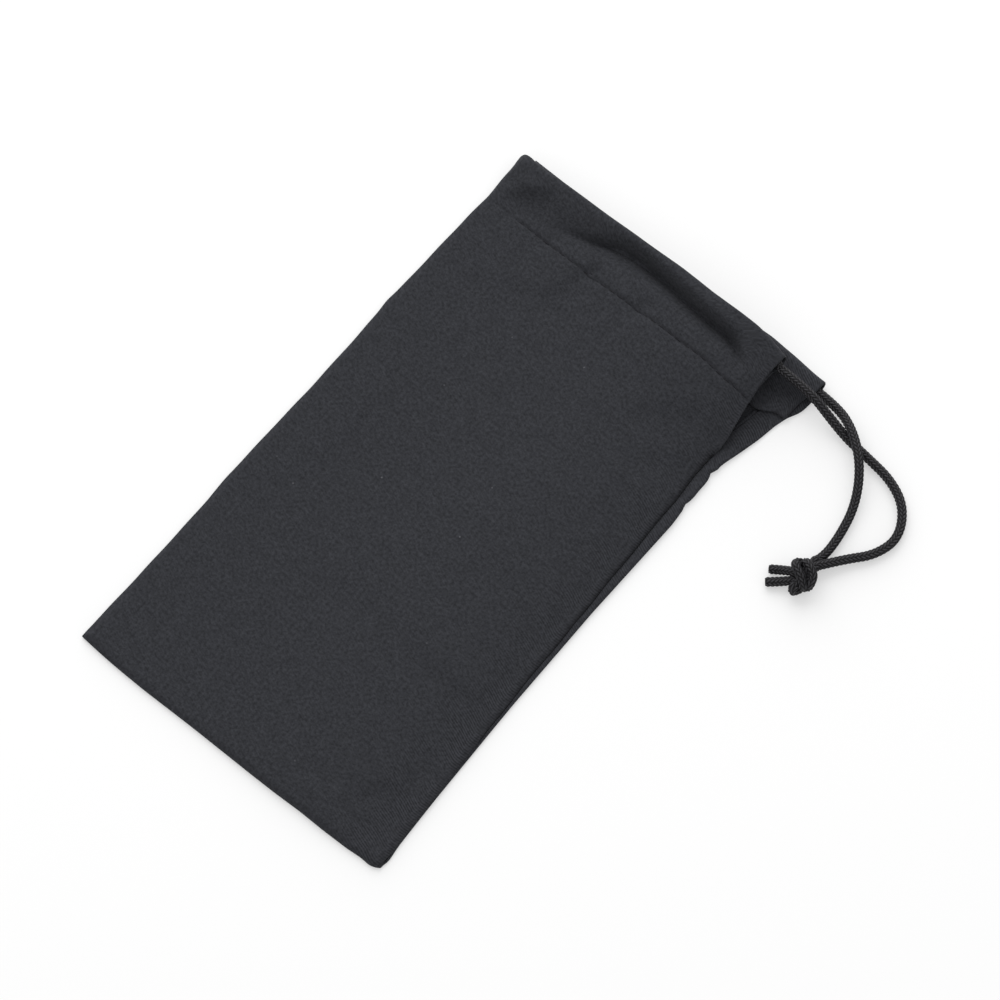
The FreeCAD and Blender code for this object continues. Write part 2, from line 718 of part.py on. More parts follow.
make_back_panel()
make_front_panel()
make_back_casing()
make_front_casing()
make_seam_allowances()
make_slit_hems()
doc.recompute()
make_casing_stitches()
make_seam_stitches()
make_overlocks()
make_bartack()
front_end, back_end = make_cord_in_casing()
make_cord_legs(front_end, back_end)
make_knot()
make_tails()
doc.recompute()


def is_node(item):
    """Bodies, and the features that stand outside any body."""
    if item.isDerivedFrom("PartDesign::Body"):
        return True
    return item.TypeId in ("Part::Feature", "Part::Ellipsoid") and not item.getParentGeoFeatureGroup()


for item in doc.Objects:
    if "Invalid" in item.State or "Error" in item.State:
        raise RuntimeError(f"{item.Name} failed: {item.State}")

os.makedirs("parts", exist_ok=True)
nodes = [item for item in doc.Objects if is_node(item)]
for item in nodes:
    if item.Shape.isNull() or not item.Shape.isValid():
        raise RuntimeError(f"{item.Label} has no valid shape")
for item in nodes:
    item.Shape.exportStep(f"parts/{item.Label}.step")
    box = item.Shape.BoundBox
    print(f"{item.Label}: {len(item.Shape.Solids)} solids, volume {item.Shape.Volume:.2f},"
          f" x {box.XMin:.2f}..{box.XMax:.2f}, y {box.YMin:.2f}..{box.YMax:.2f},"
          f" z {box.ZMin:.2f}..{box.ZMax:.2f}")
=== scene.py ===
"""A soft drawstring pouch for a pair of glasses, lying on its back on a pale floor.

Lengths in the shape functions are millimetres: +X runs across the pouch towards the
cord's exit, +Y towards the mouth, +Z up from the floor.
"""
import math

import bpy
import numpy as np
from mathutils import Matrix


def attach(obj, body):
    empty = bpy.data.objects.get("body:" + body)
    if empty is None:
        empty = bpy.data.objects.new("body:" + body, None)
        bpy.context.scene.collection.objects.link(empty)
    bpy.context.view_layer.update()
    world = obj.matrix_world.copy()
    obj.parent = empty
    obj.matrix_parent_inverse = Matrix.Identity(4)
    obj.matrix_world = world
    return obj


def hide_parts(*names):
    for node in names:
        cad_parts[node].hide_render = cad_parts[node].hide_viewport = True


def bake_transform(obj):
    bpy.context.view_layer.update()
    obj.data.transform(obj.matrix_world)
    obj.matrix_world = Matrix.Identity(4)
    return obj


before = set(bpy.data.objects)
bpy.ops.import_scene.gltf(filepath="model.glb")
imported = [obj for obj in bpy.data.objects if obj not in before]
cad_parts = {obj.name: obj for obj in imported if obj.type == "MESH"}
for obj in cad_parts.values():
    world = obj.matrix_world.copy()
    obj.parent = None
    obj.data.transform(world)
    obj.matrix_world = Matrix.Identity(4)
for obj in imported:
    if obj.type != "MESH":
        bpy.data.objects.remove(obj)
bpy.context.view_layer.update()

MM = 0.001
RIGHT = 50.0
LEFT = -50.0
TOP = 88.25
BOTTOM = -88.25
CLOTH = 0.36          # one layer of twill as drawn, so that stacked layers part
LAYER = 0.42          # from the middle of one layer to the middle of the next
CORD = 2.6            # diameter of the braided cord
THREAD = 0.35         # diameter of the topstitching thread
STITCHED = 72.25      # the casing's topstitching, along the pouch
FRONT_WIDTH = 91.0    # of the front, from the fold to its free edge
MOUTH = 87.1          # the front's mouth edge, about its middle
BACK_MOUTH = 88.2     # the back's mouth edge, where the front covers it


# ---------------- small tools

def linear(code):
    """Linear RGBA of an sRGB hex colour."""
    parts = [int(code[i:i + 2], 16) / 255 for i in (0, 2, 4)]
    return [p / 12.92 if p <= 0.04045 else ((p + 0.055) / 1.055) ** 2.4 for p in parts] + [1.0]


def smooth(t):
    """0 below 0, 1 above 1, and an even ramp without corners between."""
    t = np.clip(t, 0.0, 1.0)
    return t * t * (3 - 2 * t)


def eased(place, stations, values, reach=6.0):
    """Straight lines through the stations, averaged over a stretch so no corner shows."""
    total = 0.0
    weights = 0.0
    for step in np.linspace(-1, 1, 9):
        weight = 1.0 - 0.9 * abs(step)
        total = total + weight * np.interp(place + step * reach, stations, values)
        weights += weight
    return total / weights


def build_piece(name, points, corners, starts, uv=None):
    """A mesh object from points in millimetres, the point at every face corner, where each
    face's corners start, and the UV of every corner."""
    mesh = bpy.data.meshes.new(name)
    mesh.vertices.add(len(points))
    mesh.vertices.foreach_set("co", (points * MM).ravel())
    mesh.loops.add(len(corners))
    mesh.loops.foreach_set("vertex_index", corners.astype(np.int32))
    mesh.polygons.add(len(starts))
    mesh.polygons.foreach_set("loop_start", starts.astype(np.int32))
    if uv is not None:
        mesh.uv_layers.new(name="weave").uv.foreach_set("vector", uv.ravel())
    mesh.update(calc_edges=True)
    mesh.validate()
    mesh.shade_smooth()
    piece = bpy.data.objects.new(name, mesh)
    bpy.context.scene.collection.objects.link(piece)
    return piece


def grid_faces(rows, columns, closed=False):
    """Corner numbers of the faces of a grid of points; closed joins its last column
    to its first."""
    wide = columns if closed else columns - 1
    i, j = np.meshgrid(np.arange(rows - 1), np.arange(wide), indexing="ij")
    k = (j + 1) % columns
    return np.stack([i * columns + j, i * columns + k, (i + 1) * columns + k,
                     (i + 1) * columns + j], -1).reshape(-1, 4)


def grid_corners(values):
    """The UV of every face corner of a grid, from one UV per grid line crossing."""
    a = values[:-1, :-1]
    b = values[:-1, 1:]
    c = values[1:, 1:]
    d = values[1:, :-1]
    return np.stack([a, b, c, d], 2).reshape(-1, 2)


def cloth_piece(name, points, uv, material):
    """A sheet of cloth from a grid of points on its middle, thickened both ways."""
    faces = grid_faces(*points.shape[:2])
    piece = build_piece(name, points.reshape(-1, 3), faces.ravel(), np.arange(len(faces)) * 4,
                        grid_corners(uv))
    piece.data.materials.append(material)
    shell = piece.modifiers.new("thickness", "SOLIDIFY")
    shell.thickness = CLOTH * MM
    shell.offset = 0.0
    return piece


# ---------------- camera, floor, light

WORLD_LEVEL = 0.69
PANEL_WATTS = 25.5
GLOW = 0.42           # share of the paper's own brightness in what the camera sees


def add_camera():
    """A long lens from high above the pouch's lower right."""
    azimuth = math.radians(40.2)
    elevation = math.radians(68.2)
    distance = 7.15
    aim = np.array([7.668, 10.816, 0.0]) * MM
    back = np.array([math.sin(azimuth) * math.cos(elevation),
                     -math.cos(azimuth) * math.cos(elevation), math.sin(elevation)])
    lens = bpy.data.cameras.new("camera")
    lens.lens = 1000.0
    lens.sensor_width = 36.0
    lens.clip_start = 0.1
    lens.clip_end = 40.0
    camera = bpy.data.objects.new("camera", lens)
    camera.location = aim + back * distance
    camera.rotation_euler = (math.pi / 2 - elevation, 0.0, azimuth)
    bpy.context.scene.collection.objects.link(camera)
    bpy.context.scene.camera = camera


def node(tree, kind, settings=None, feeds=None):
    """Add one shader node, set its settings, and feed its inputs with values or sockets."""
    made = tree.nodes.new("ShaderNode" + kind)
    for key, setting in (settings or {}).items():
        setattr(made, key, setting)
    for key, feed in (feeds or {}).items():
        if isinstance(feed, bpy.types.NodeSocket):
            tree.links.new(feed, made.inputs[key])
        else:
            made.inputs[key].default_value = feed
    return made


def new_material(name):
    """An empty node material with its output node."""
    material = bpy.data.materials.new(name)
    material.use_nodes = True
    material.node_tree.nodes.clear()
    out = material.node_tree.nodes.new("ShaderNodeOutputMaterial")
    return material, material.node_tree, out


def make_paper_white():
    """Seamless white paper sweep: matt, and so bright to the eye that only the
    pouch's own soft shadow darkens it."""
    material, tree, out = new_material("paper_sweep")
    paper = node(tree, "BsdfDiffuse", feeds={"Color": linear("FBFBFB")})
    glow = node(tree, "Emission", feeds={"Color": (1, 1, 1, 1), "Strength": 1.0})
    seen = node(tree, "LightPath")
    sight = node(tree, "Math", {"operation": "MAXIMUM"},
                 {0: seen.outputs["Is Camera Ray"], 1: seen.outputs["Is Glossy Ray"]})
    part = node(tree, "Math", {"operation": "MULTIPLY"}, {0: sight.outputs[0], 1: GLOW})
    both = node(tree, "MixShader", feeds={
        0: part.outputs[0], 1: paper.outputs[0], 2: glow.outputs[0]})
    tree.links.new(both.outputs[0], out.inputs["Surface"])
    return material


def add_floor():
    """A wide flat sheet of white paper under the pouch."""
    half = 1500.0
    corners = np.array([[-half, -half, 0], [half, -half, 0], [half, half, 0], [-half, half, 0]])
    floor = build_piece("floor", corners, np.arange(4), np.zeros(1))
    floor.data.materials.append(make_paper_white())


def add_lights():
    """Even light from all round, and one broad soft panel high beyond the fold."""
    scene = bpy.context.scene
    world = bpy.data.worlds.new("studio")
    world.use_nodes = True
    sky = world.node_tree.nodes["Background"].inputs
    sky["Color"].default_value = (1, 1, 1, 1)
    sky["Strength"].default_value = WORLD_LEVEL
    scene.world = world
    panel = bpy.data.lights.new("soft_panel", "AREA")
    panel.shape = "SQUARE"
    panel.size = 1.9
    panel.energy = PANEL_WATTS
    lamp = bpy.data.objects.new("soft_panel", panel)
    place = np.array([-0.97, 0.88, 0.76])
    lamp.location = place
    aim = -place / np.linalg.norm(place)
    lamp.rotation_euler = (math.acos(-aim[2]), 0.0, math.atan2(aim[1], aim[0]) - math.pi / 2)
    scene.collection.objects.link(lamp)
    scene.view_settings.view_transform = "Standard"


add_camera()
add_floor()
add_lights()


# ---------------- cord

def lengths_along(points):
    """Distance along a line of points, from its first point."""
    return np.concatenate([[0.0], np.cumsum(np.linalg.norm(np.diff(points, axis=0), axis=1))])


def spaced(points, step):
    """The same line with points an even step apart."""
    along = lengths_along(points)
    count = max(2, int(round(along[-1] / step)) + 1)
    places = np.linspace(0.0, along[-1], count)
    return np.stack([np.interp(places, along, points[:, k]) for k in range(3)], 1)


def unit(vectors):
    """The same directions, each of length 1."""
    return vectors / np.maximum(np.linalg.norm(vectors, axis=-1, keepdims=True), 1e-12)


def carried_frames(points):
    """Two directions square to the line at each point, carried along it without twist.
    The turn from each tangent to the next is a quaternion, and the turns are multiplied
    up by doubling."""
    tangents = unit(np.gradient(points, axis=0))
    before = tangents[:-1]
    after = tangents[1:]
    turn = np.concatenate([1 + (before * after).sum(1, keepdims=True), np.cross(before, after)], 1)
    turn = np.concatenate([[[1.0, 0.0, 0.0, 0.0]], unit(turn)])
    shift = 1
    while shift < len(turn):
        late = turn[shift:]
        early = turn[:-shift]
        real = late[:, :1] * early[:, :1] - (late[:, 1:] * early[:, 1:]).sum(1, keepdims=True)
        rest = late[:, :1] * early[:, 1:] + early[:, :1] * late[:, 1:]
        rest = rest + np.cross(late[:, 1:], early[:, 1:])
        turn = np.concatenate([turn[:shift], np.concatenate([real, rest], 1)])
        shift *= 2
    first = np.cross(tangents[0], [0.0, 0.0, 1.0])
    if np.linalg.norm(first) < 0.1:
        first = np.cross(tangents[0], [1.0, 0.0, 0.0])
    first = np.broadcast_to(unit(first), tangents.shape)
    axis = turn[:, 1:]
    side = first + 2 * np.cross(axis, np.cross(axis, first) + turn[:, :1] * first)
    side = unit(side - (side * tangents).sum(1, keepdims=True) * tangents)
    return side, np.cross(tangents, side)


PLAITS = 8            # strands each way round the cord
PLAIT_PITCH = 1.15    # along the cord from one plait to the next
PLAIT_DEPTH = 0.48


def braid_height(turns, along):
    """How far the braid's surface stands out, from 0 to 1.  Two sets of strands wind
    round the cord, one each way.  Each strand is a rounded rib that passes over two of
    the other set and then under two, which shows as columns of chevrons."""
    one = np.abs(np.cos((PLAITS * turns + 2 * math.pi * along / PLAIT_PITCH) / 2)) ** 0.8
    other = np.abs(np.cos((PLAITS * turns - 2 * math.pi * along / PLAIT_PITCH) / 2)) ** 0.8
    sway = 0.5 * np.cos(PLAITS * turns / 2 - math.pi / 4)
    return np.maximum(one + sway, other - sway) / 1.5


def tube_piece(name, rings, material, uv=None):
    """Closed tubes from rings of points: (tubes, rings, points round, 3).  Each end is
    closed by a fan about the middle of its last ring."""
    count, long, around = rings.shape[:3]
    ends = rings[:, [0, -1]].mean(2)
    points = np.concatenate([rings.reshape(-1, 3), ends.reshape(-1, 3)])
    quads = grid_faces(long, around, closed=True)
    shift = (np.arange(count) * long * around)[:, None, None]
    quads = (quads[None] + shift).reshape(-1, 4)
    j = np.arange(around)
    k = (j + 1) % around
    foot = count * long * around + 2 * np.arange(count)[:, None]
    first = np.stack([k + shift[:, 0], j + shift[:, 0], np.broadcast_to(foot, (count, around))], -1)
    last_ring = (long - 1) * around
    last = np.stack([last_ring + j + shift[:, 0], last_ring + k + shift[:, 0],
                     np.broadcast_to(foot + 1, (count, around))], -1)
    fans = np.concatenate([first, last]).reshape(-1, 3)
    corners = np.concatenate([quads.ravel(), fans.ravel()])
    starts = np.concatenate([np.arange(len(quads)) * 4, quads.size + np.arange(len(fans)) * 3])
    if uv is not None:
        uv = np.concatenate([uv.ravel(), np.zeros(fans.size * 2)])
    piece = build_piece(name, points, corners, starts, uv)
    piece.data.materials.append(material)
    return piece


def braid_piece(name, line, material, step=0.17, around=64, cut_end=False):
    """A braided cord along a line: rings square to the line whose radius follows the
    braid.  cut_end draws its first end in a little."""
    radius = CORD / 2
    points = spaced(line, step)
    along = lengths_along(points)
    side, up = carried_frames(points)
    turns = np.arange(around) * 2 * math.pi / around
    height = braid_height(turns[None, :], along[:, None])
    size = radius - PLAIT_DEPTH * (1 - height)
    if cut_end:
        size = size * (0.86 + 0.14 * smooth(np.arange(len(points)) * step / 0.5))[:, None]
    rings = points[:, None] + size[..., None] * (np.cos(turns)[None, :, None] * side[:, None]
                                                 + np.sin(turns)[None, :, None] * up[:, None])
    round_about = np.linspace(0, 2 * math.pi * radius, around + 1)
    uv = np.stack(np.broadcast_arrays(along[:, None], round_about[None, :]), -1)
    piece = tube_piece(name, rings[None], material, grid_corners(uv))
    # The braid's height, which the cord's material turns into a painted highlight on the plait tops
    # and painted shade in the gaps.
    plait = piece.data.attributes.new("plait", "FLOAT", "POINT")
    plait.data.foreach_set("value", np.concatenate([height.ravel(), [0.2, 0.2]]))
    return piece


def cord_line(points):
    """A smooth line through a cord's route: the points of a NURBS spline of order 3."""
    curve = bpy.data.curves.new("route", "CURVE")
    curve.dimensions = "3D"
    curve.resolution_u = 24
    spline = curve.splines.new("NURBS")
    spline.points.add(len(points) - 1)
    spline.points.foreach_set("co", np.concatenate([points, np.ones((len(points), 1))], 1).ravel())
    spline.order_u = 3
    spline.use_endpoint_u = True
    holder = bpy.data.objects.new("route", curve)
    bpy.context.scene.collection.objects.link(holder)
    bpy.context.view_layer.update()
    mesh = bpy.data.meshes.new_from_object(holder)
    line = np.zeros(len(mesh.vertices) * 3)
    mesh.vertices.foreach_get("co", line)
    bpy.data.objects.remove(holder)
    bpy.data.curves.remove(curve)
    bpy.data.meshes.remove(mesh)
    return line.reshape(-1, 3)


def beside_mouth(across, along, lift):
    """A place counted from the pouch's top right corner, its height in cord diameters."""
    return (RIGHT + across, TOP + along, lift * CORD)


FRONT_EXIT = (41.0, 83.25, 6.593)
BACK_EXIT = (50.0, 86.05, 1.9)
FRONT_ROUTE = [
    FRONT_EXIT,
    (51.2, 83.25, 6.593),
    beside_mouth(9.4, -6.35, 1.27),
    beside_mouth(15.6, -7.25, 0.58),
    beside_mouth(23.0, -7.85, 0.52),
    beside_mouth(31.3, -8.75, 0.52),
    beside_mouth(38.7, -12.3, 0.52),
    beside_mouth(43.3, -19.9, 0.52),
    beside_mouth(41.4, -27.4, 0.52),
    beside_mouth(36.6, -33.05, 0.65),
    beside_mouth(32.9, -38.85, 1.0),
]
BACK_ROUTE = [
    BACK_EXIT,
    (58.0, 86.05, 1.9),
    beside_mouth(15.0, -5.05, 1.54),
    beside_mouth(21.3, -9.55, 1.69),
    beside_mouth(26.0, -15.05, 1.15),
    beside_mouth(29.3, -21.45, 0.62),
    beside_mouth(31.1, -28.85, 0.52),
    beside_mouth(31.8, -35.65, 0.54),
    beside_mouth(31.2, -38.05, 0.73),
]


def make_braid_material():
    """Braided polyester cord: satin filaments, near black.  Its colour carries a painted
    highlight along the tops of the plaits and on streaks of the fibre noise, and painted
    shade in the gaps between the plaits.  Real filaments are too fine to show, so they are
    drawn as streaks about 0.8 mm long and 0.1 mm wide."""
    material, tree, out = new_material("braided_polyester")
    place = node(tree, "UVMap", {"uv_map": "weave"})
    stretch = node(tree, "Mapping", feeds={"Vector": place.outputs[0], "Scale": (1.2, 9.0, 1.0)})
    fibre = node(tree, "TexNoise", feeds={
        "Vector": stretch.outputs[0], "Scale": 1.0, "Detail": 3.0})
    rise = node(tree, "Attribute", {"attribute_name": "plait"})
    # Painted highlight and shade: the colour goes lighter on high plaits and fibre streaks and
    # darker in the gaps between plaits.
    glint_and_gap_shade = node(tree, "Math", {"operation": "MULTIPLY_ADD"},
                 {0: fibre.outputs["Fac"], 1: 0.8, 2: rise.outputs["Fac"]})
    top = node(tree, "MapRange", feeds={0: glint_and_gap_shade.outputs[0], 1: 0.98, 2: 1.5, 3: 0.0, 4: 1.0})
    # From near black, the painted gap shade, to grey, the painted highlight on the plait tops.
    tint = node(tree, "MixRGB", feeds={
        0: top.outputs[0], 1: linear("030304"), 2: linear("464549")})
    bump = node(tree, "Bump", feeds={
        "Strength": 0.35, "Distance": 0.00006, "Height": fibre.outputs["Fac"]})
    skin = node(tree, "BsdfPrincipled", feeds={
        "Base Color": tint.outputs[0], "Roughness": 0.55, "IOR": 1.5,
        "Specular IOR Level": 0.2, "Normal": bump.outputs[0]})
    tree.links.new(skin.outputs[0], out.inputs["Surface"])
    return material


braid = make_braid_material()
front_line = cord_line(np.array(FRONT_ROUTE) * MM) / MM
back_line = cord_line(np.array(BACK_ROUTE) * MM) / MM


def through(points):
    """A smooth line that passes through every point: Catmull-Rom cubics, each leaving
    and arriving along the chord between its neighbours."""
    points = np.asarray(points, float)
    padded = np.concatenate([[2 * points[0] - points[1]], points, [2 * points[-1] - points[-2]]])
    t = np.linspace(0, 1, 13)[:-1, None, None]
    a, b, c, d = padded[:-3], padded[1:-2], padded[2:-1], padded[3:]
    line = b + 0.5 * t * (c - a + t * (2 * a - 5 * b + 4 * c - d + t * (3 * (b - c) + d - a)))
    return np.concatenate([line.transpose(1, 0, 2).reshape(-1, 3), points[-1:]])


# The overhand knot, tied in both legs together.  Each strand is a list of places in the
# knot's own directions: along it towards the legs, across it, and up, square to both.
# The first place is the cut end and the last is where the leg runs in.
KNOT_PLACE = np.array([81.8, 43.85, 3.69])
LEAN = math.radians(21.8)
TURN = math.radians(40.2)
ALONG_KNOT = np.array([math.cos(TURN), math.sin(TURN), 0.0])
ACROSS_KNOT = np.array([-math.sin(TURN) * math.cos(LEAN), math.cos(TURN) * math.cos(LEAN),
                        math.sin(LEAN)])
OFF_KNOT = np.cross(ALONG_KNOT, ACROSS_KNOT)
LEFT_WRAP = [(-8.8, 1.88, -3.3), (-6.0, 1.65, -2.8), (-3.4, 1.35, -1.2), (-1.7, 0.9, -0.4),
             (0.2, 0.3, -1.1), (0.9, -1.3, -1.8), (-0.9, -3.1, -1.3), (-2.5, -3.75, -0.3),
             (-2.6, -2.9, 0.9), (-1.3, -1.7, 0.5), (0.4, -0.3, 0.5), (0.8, 1.4, 0.2),
             (0.3, 2.9, -1.2), (-1.3, 3.6, -0.6), (-2.0, 2.9, 1.2), (-1.2, 1.0, 2.0),
             (-0.45, -0.9, 1.9), (-0.05, -2.7, 0.8), (0.5, -2.3, -1.4), (1.9, 0.6, -2.3)]
RIGHT_WRAP = [(-9.8, -1.43, -2.0), (-6.5, -1.35, -1.8), (-3.5, -1.15, -1.0), (-1.6, -1.1, -0.6),
              (0.3, -1.7, -1.3), (0.95, -2.75, 0.0), (1.8, -1.9, 1.4), (2.45, 0.2, 1.75),
              (1.8, 2.2, 1.5), (0.75, 3.55, 0.4), (0.6, 2.6, -1.5), (1.8, 1.4, -1.9)]


def knot_line(places, leg):
    """A strand's line: its places turned into the knot's stand, then on into its leg."""
    places = np.asarray(places)
    line = KNOT_PLACE + places @ np.stack([ALONG_KNOT, ACROSS_KNOT, OFF_KNOT])
    end = np.asarray(leg[-1])
    before = end + 0.9 * unit(end - leg[-2])
    return through(np.concatenate([line, [before, end]]))


for name, places, leg in (("knot_left_wrap", LEFT_WRAP, BACK_ROUTE),
                          ("knot_right_wrap", RIGHT_WRAP, FRONT_ROUTE)):
    piece = braid_piece(name, knot_line(places, leg), braid, cut_end=True)
    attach(piece, "drawcord")
front_leg = braid_piece("front_leg_braid", front_line, braid)
back_leg = braid_piece("back_leg_braid", back_line, braid)
for piece, node_name in ((front_leg, "cord_leg_front"), (back_leg, "cord_leg_back")):
    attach(piece, "drawcord")
    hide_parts(node_name)
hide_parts("cord_knot", "cord_tail_front", "cord_tail_back")


# ---------------- shape of the pouch

# Where the rolled margin is pinched in or bulges out: place, width and depth.
DENTS = [(40.2, 0.8, 0.45), (43.4, 1.2, -0.16), (48.4, 1.5, -0.14), (51.2, 0.8, 0.40),
         (53.1, 0.7, -0.25)]


def outline_right(y):
    """The pouch's right-hand edge, with the small dents where its margin is rolled."""
    line = eased(y, [-90, -88, -86, -78, -70, -62, -54, -46, -38, -30, -14, 2, 34, 42, 46, 50, 52,
                     56, 60, 66, 72, 76, 79, 82, 90],
                 [48.8, 49.7, 50.15, 49.35, 48.8, 48.3, 47.9, 47.5, 47.1, 46.75, 46.35, 45.95,
                  45.95, 45.15, 45.2, 44.9, 44.65, 45.3, 46.35, 47.65, 48.5, 49.5, 51.2, 51.5,
                  51.2], 1.6)
    for place, wide, depth in DENTS:
        line = line - depth * np.exp(-((y - place) / wide) ** 2)
    return line


def seam_line(y):
    """The side seam, where the front cloth dives in and the rolled margin begins; above
    the seam, the front's free edge."""
    return eased(y, [-90, -81, -62, -44, -25, -6, 12, 25, 40, 50, 54, 58, 61, 66, 72, 76, 80, 90],
                 [49.6, 49.3, 48.1, 46.75, 45.5, 44.7, 43.7, 43.1, 42.4, 41.7, 41.5, 42.1, 41.9,
                  41.0, 40.0, 39.6, 39.6, 40.2],
                 1.8) + 0.08 * np.sin(y / 2.7 + 0.8 * np.sin(y / 7.3))


def outline_left(y):
    """The folded edge: nearly straight, a little wavy, drawn in where it meets the
    topstitching and flaring above it."""
    line = eased(y, [-90, -82, -66, -50, -38, -30, -10, 2, 22, 30, 34, 38, 48, 58, 66, 73, 79, 83,
                     86.5, 90],
                 [-49.75, -49.7, -49.45, -49.4, -49.5, -49.85, -49.65, -49.4, -49.5, -49.75, -50.15,
                  -49.75, -49.55, -49.4, -49.2, -48.75, -49.05, -48.6, -48.8, -48.9], 1.6)
    return line + 0.04 * np.sin(y / 2.3)


def outline_bottom(x):
    """The bottom edge: a little wavy, and drawn up towards both corners."""
    return BOTTOM + eased(x, [-51, -48, -44, -40, -36, -28, -20, -12, 0, 8, 16, 24, 32, 40, 44,
                              47.5, 49.5, 52],
                          [1.0, 0.76, 0.44, 0.22, 0.07, -0.08, 0.02, 0.11, 0.05, 0.0, 0.04, 0.3,
                           0.2, 0.34, 0.7, 0.55, 1.4, 4.0], 1.0)


def bottom_bend(x, y):
    """How far a row of the cloth near the bottom is drawn up to follow that edge."""
    return (outline_bottom(x) - BOTTOM) * smooth((-78.0 - y) / 8.0)


def mouth_line(x):
    """The front's mouth edge as it lies; its free end falls back behind the back's."""
    return eased(x, [-55, -49, -46.5, -44, -40, -36, -28, -20, -12, -4, 4, 12, 15, 20, 24, 30, 35,
                     40, 55],
                 [86.8, 86.9, 87.0, 86.75, 86.5, 86.95, 87.08, 87.13, 87.33, 87.33, 87.42, 87.12,
                  87.0, 87.15, 87.4, 87.68, 87.3, 86.4, 86.1], 1.6)


def mouth_bend(x, y):
    """How far a row near the mouth is moved to follow that edge."""
    return (mouth_line(x) - MOUTH) * smooth((y - 60) / 24)


def stitch_line(x):
    """The casing's topstitching, which wanders a little along the pouch."""
    return STITCHED + eased(x, [-50, -39, -30, -20, -6, 10, 25, 30, 33, 38],
                            [0.35, 0.35, 0.0, -0.2, -0.4, -0.3, -0.4, -1.0, -1.1, -0.5], 2.0)


def share(x):
    """How high the slack front stands: 0 at the fold and at the free edge, low over the
    left half, highest right of the middle."""
    return eased(x, [-52, -44, -35, -22, -10, 0, 8, 15, 22, 29, 35, 41, 44],
                 [0.0, 0.04, 0.10, 0.20, 0.40, 0.64, 0.88, 1.0, 0.97, 0.74, 0.42, 0.06, 0.0], 5.0)


def slack(x):
    """How high the slack stands over the panel: as on the ridge over the left half, and
    flatter towards the right-hand seam, where it drops away late."""
    return eased(x, [-52, -44, -35, -22, -10, 0, 8, 15, 22, 29, 35, 40, 42, 44],
                 [0.0, 0.05, 0.12, 0.24, 0.44, 0.67, 0.88, 0.98, 1.0, 0.93, 0.74, 0.34, 0.1, 0.0],
                 3.0)


def fold_radius(y):
    """Radius of the left fold: nearly flat along the panel, opened by the cord at the top."""
    return eased(y, [-90, -60, 60, 72, 79, 85, 95], [0.42, 0.5, 0.55, 0.9, 1.3, 3.3, 3.6], 1.5)


def arch_rise(y):
    """How far the front's slack lifts it at its highest, along the pouch."""
    return eased(y, [-90, -84, -60, -10, 40, 57, 72, 79, 85, 95],
                 [0.7, 1.3, 1.8, 2.3, 2.9, 4.0, 4.9, 4.7, 4.3, 4.3], 2.0)


def edge_height(y):
    """Height of the front's right-hand edge: down at the side seam, free above it."""
    return eased(y, [-90, 52, 57, 64, 72, 79, 84, 95],
                 [1.5, 1.5, 1.9, 3.1, 4.4, 6.0, 8.1, 8.3], 1.5)


# Folds of the slack front: two ends of the line that runs along the steepest part, how
# wide it is, how far the cloth drops across it, and how much it fades at its ends.
# Each drops towards the right of its way from first end to second.
FOLDS = [
    (-21, 60, -13, 75, 3.4, 1.75, 5),
    (-39, 55, -24, 57, 3.2, 0.8, 6),
    (-9, 69, 5, 76, 3.0, 0.8, 4),
    (18, 50, 32, 60, 4.6, 1.2, 6),
    (27, 40, 37, 49, 3.4, 0.8, 5),
    (31, 35, 40, 31, 1.6, 0.9, 4),
    (-48, 34, -11, 32, 2.6, 0.35, 8),
    (-34, -11, -31, 21, 4.6, 1.3, 7),
    (-38, -50, -33, 10, 4.5, 0.6, 8),
    (-13, -33, 39, -37, 3.6, 0.8, 10),
    (25, -36, 39, -37, 3.2, 0.6, 5),
    (21, -3, 41, -14, 1.9, 0.6, 7),
    (30, -78, 42, -64, 4.6, 1.4, 7),
    (38, -74, 18, -82, 3.4, 0.8, 6),
    (-46, -83, -33, -82, 2.6, 0.5, 5),
    (-46, 77, -36, 83, 2.6, 3.0, 3),
    (10, 8, -18, -2, 6.5, 0.3, 10),
    (22, 30, -6, 18, 7.0, 0.35, 10),
]
GATHERS = [(-28, 2.2, 0.40), (-14.5, 2.0, 0.50), (2.5, 2.0, 0.45), (17, 2.2, 0.28), (29, 1.6, 0.25),
           (-41, 1.5, 0.3)]


def relief(x, y):
    """Height of the folds over the smooth arch."""
    height = 0.0 * x
    for x1, y1, x2, y2, wide, drop, fade in FOLDS:
        long = math.hypot(x2 - x1, y2 - y1)
        ahead = ((x - x1) * (x2 - x1) + (y - y1) * (y2 - y1)) / long
        right = ((x - x1) * (y2 - y1) - (y - y1) * (x2 - x1)) / long
        right = right + 0.10 * wide * np.sin(ahead / (1.9 * wide) + x1)
        inside = smooth((ahead + fade * 0.6) / fade) * smooth((long + fade * 0.6 - ahead) / fade)
        reach = right / wide
        height = height - 0.5 * drop * inside * reach / (1 + reach ** 2) * np.exp(-(reach / 5) ** 2)
    # Small puckers where the topstitching draws the cloth in.
    for place, wide, drop in GATHERS:
        beyond = y - stitch_line(place)
        near = np.exp(-(beyond / 3.0) ** 2)
        height = height - drop * near * np.exp(-((x - place - 0.35 * beyond) / wide) ** 2)
    # The faint waviness of pressed cotton.
    height = height + 0.05 * np.sin(x / 5.3 + 0.7 * np.sin(y / 11)) * np.sin(y / 7.1 + 1.3)
    height = height + 0.035 * np.sin(x / 2.9 - y / 6.1) * np.sin(y / 3.7 + x / 9.0)
    return height


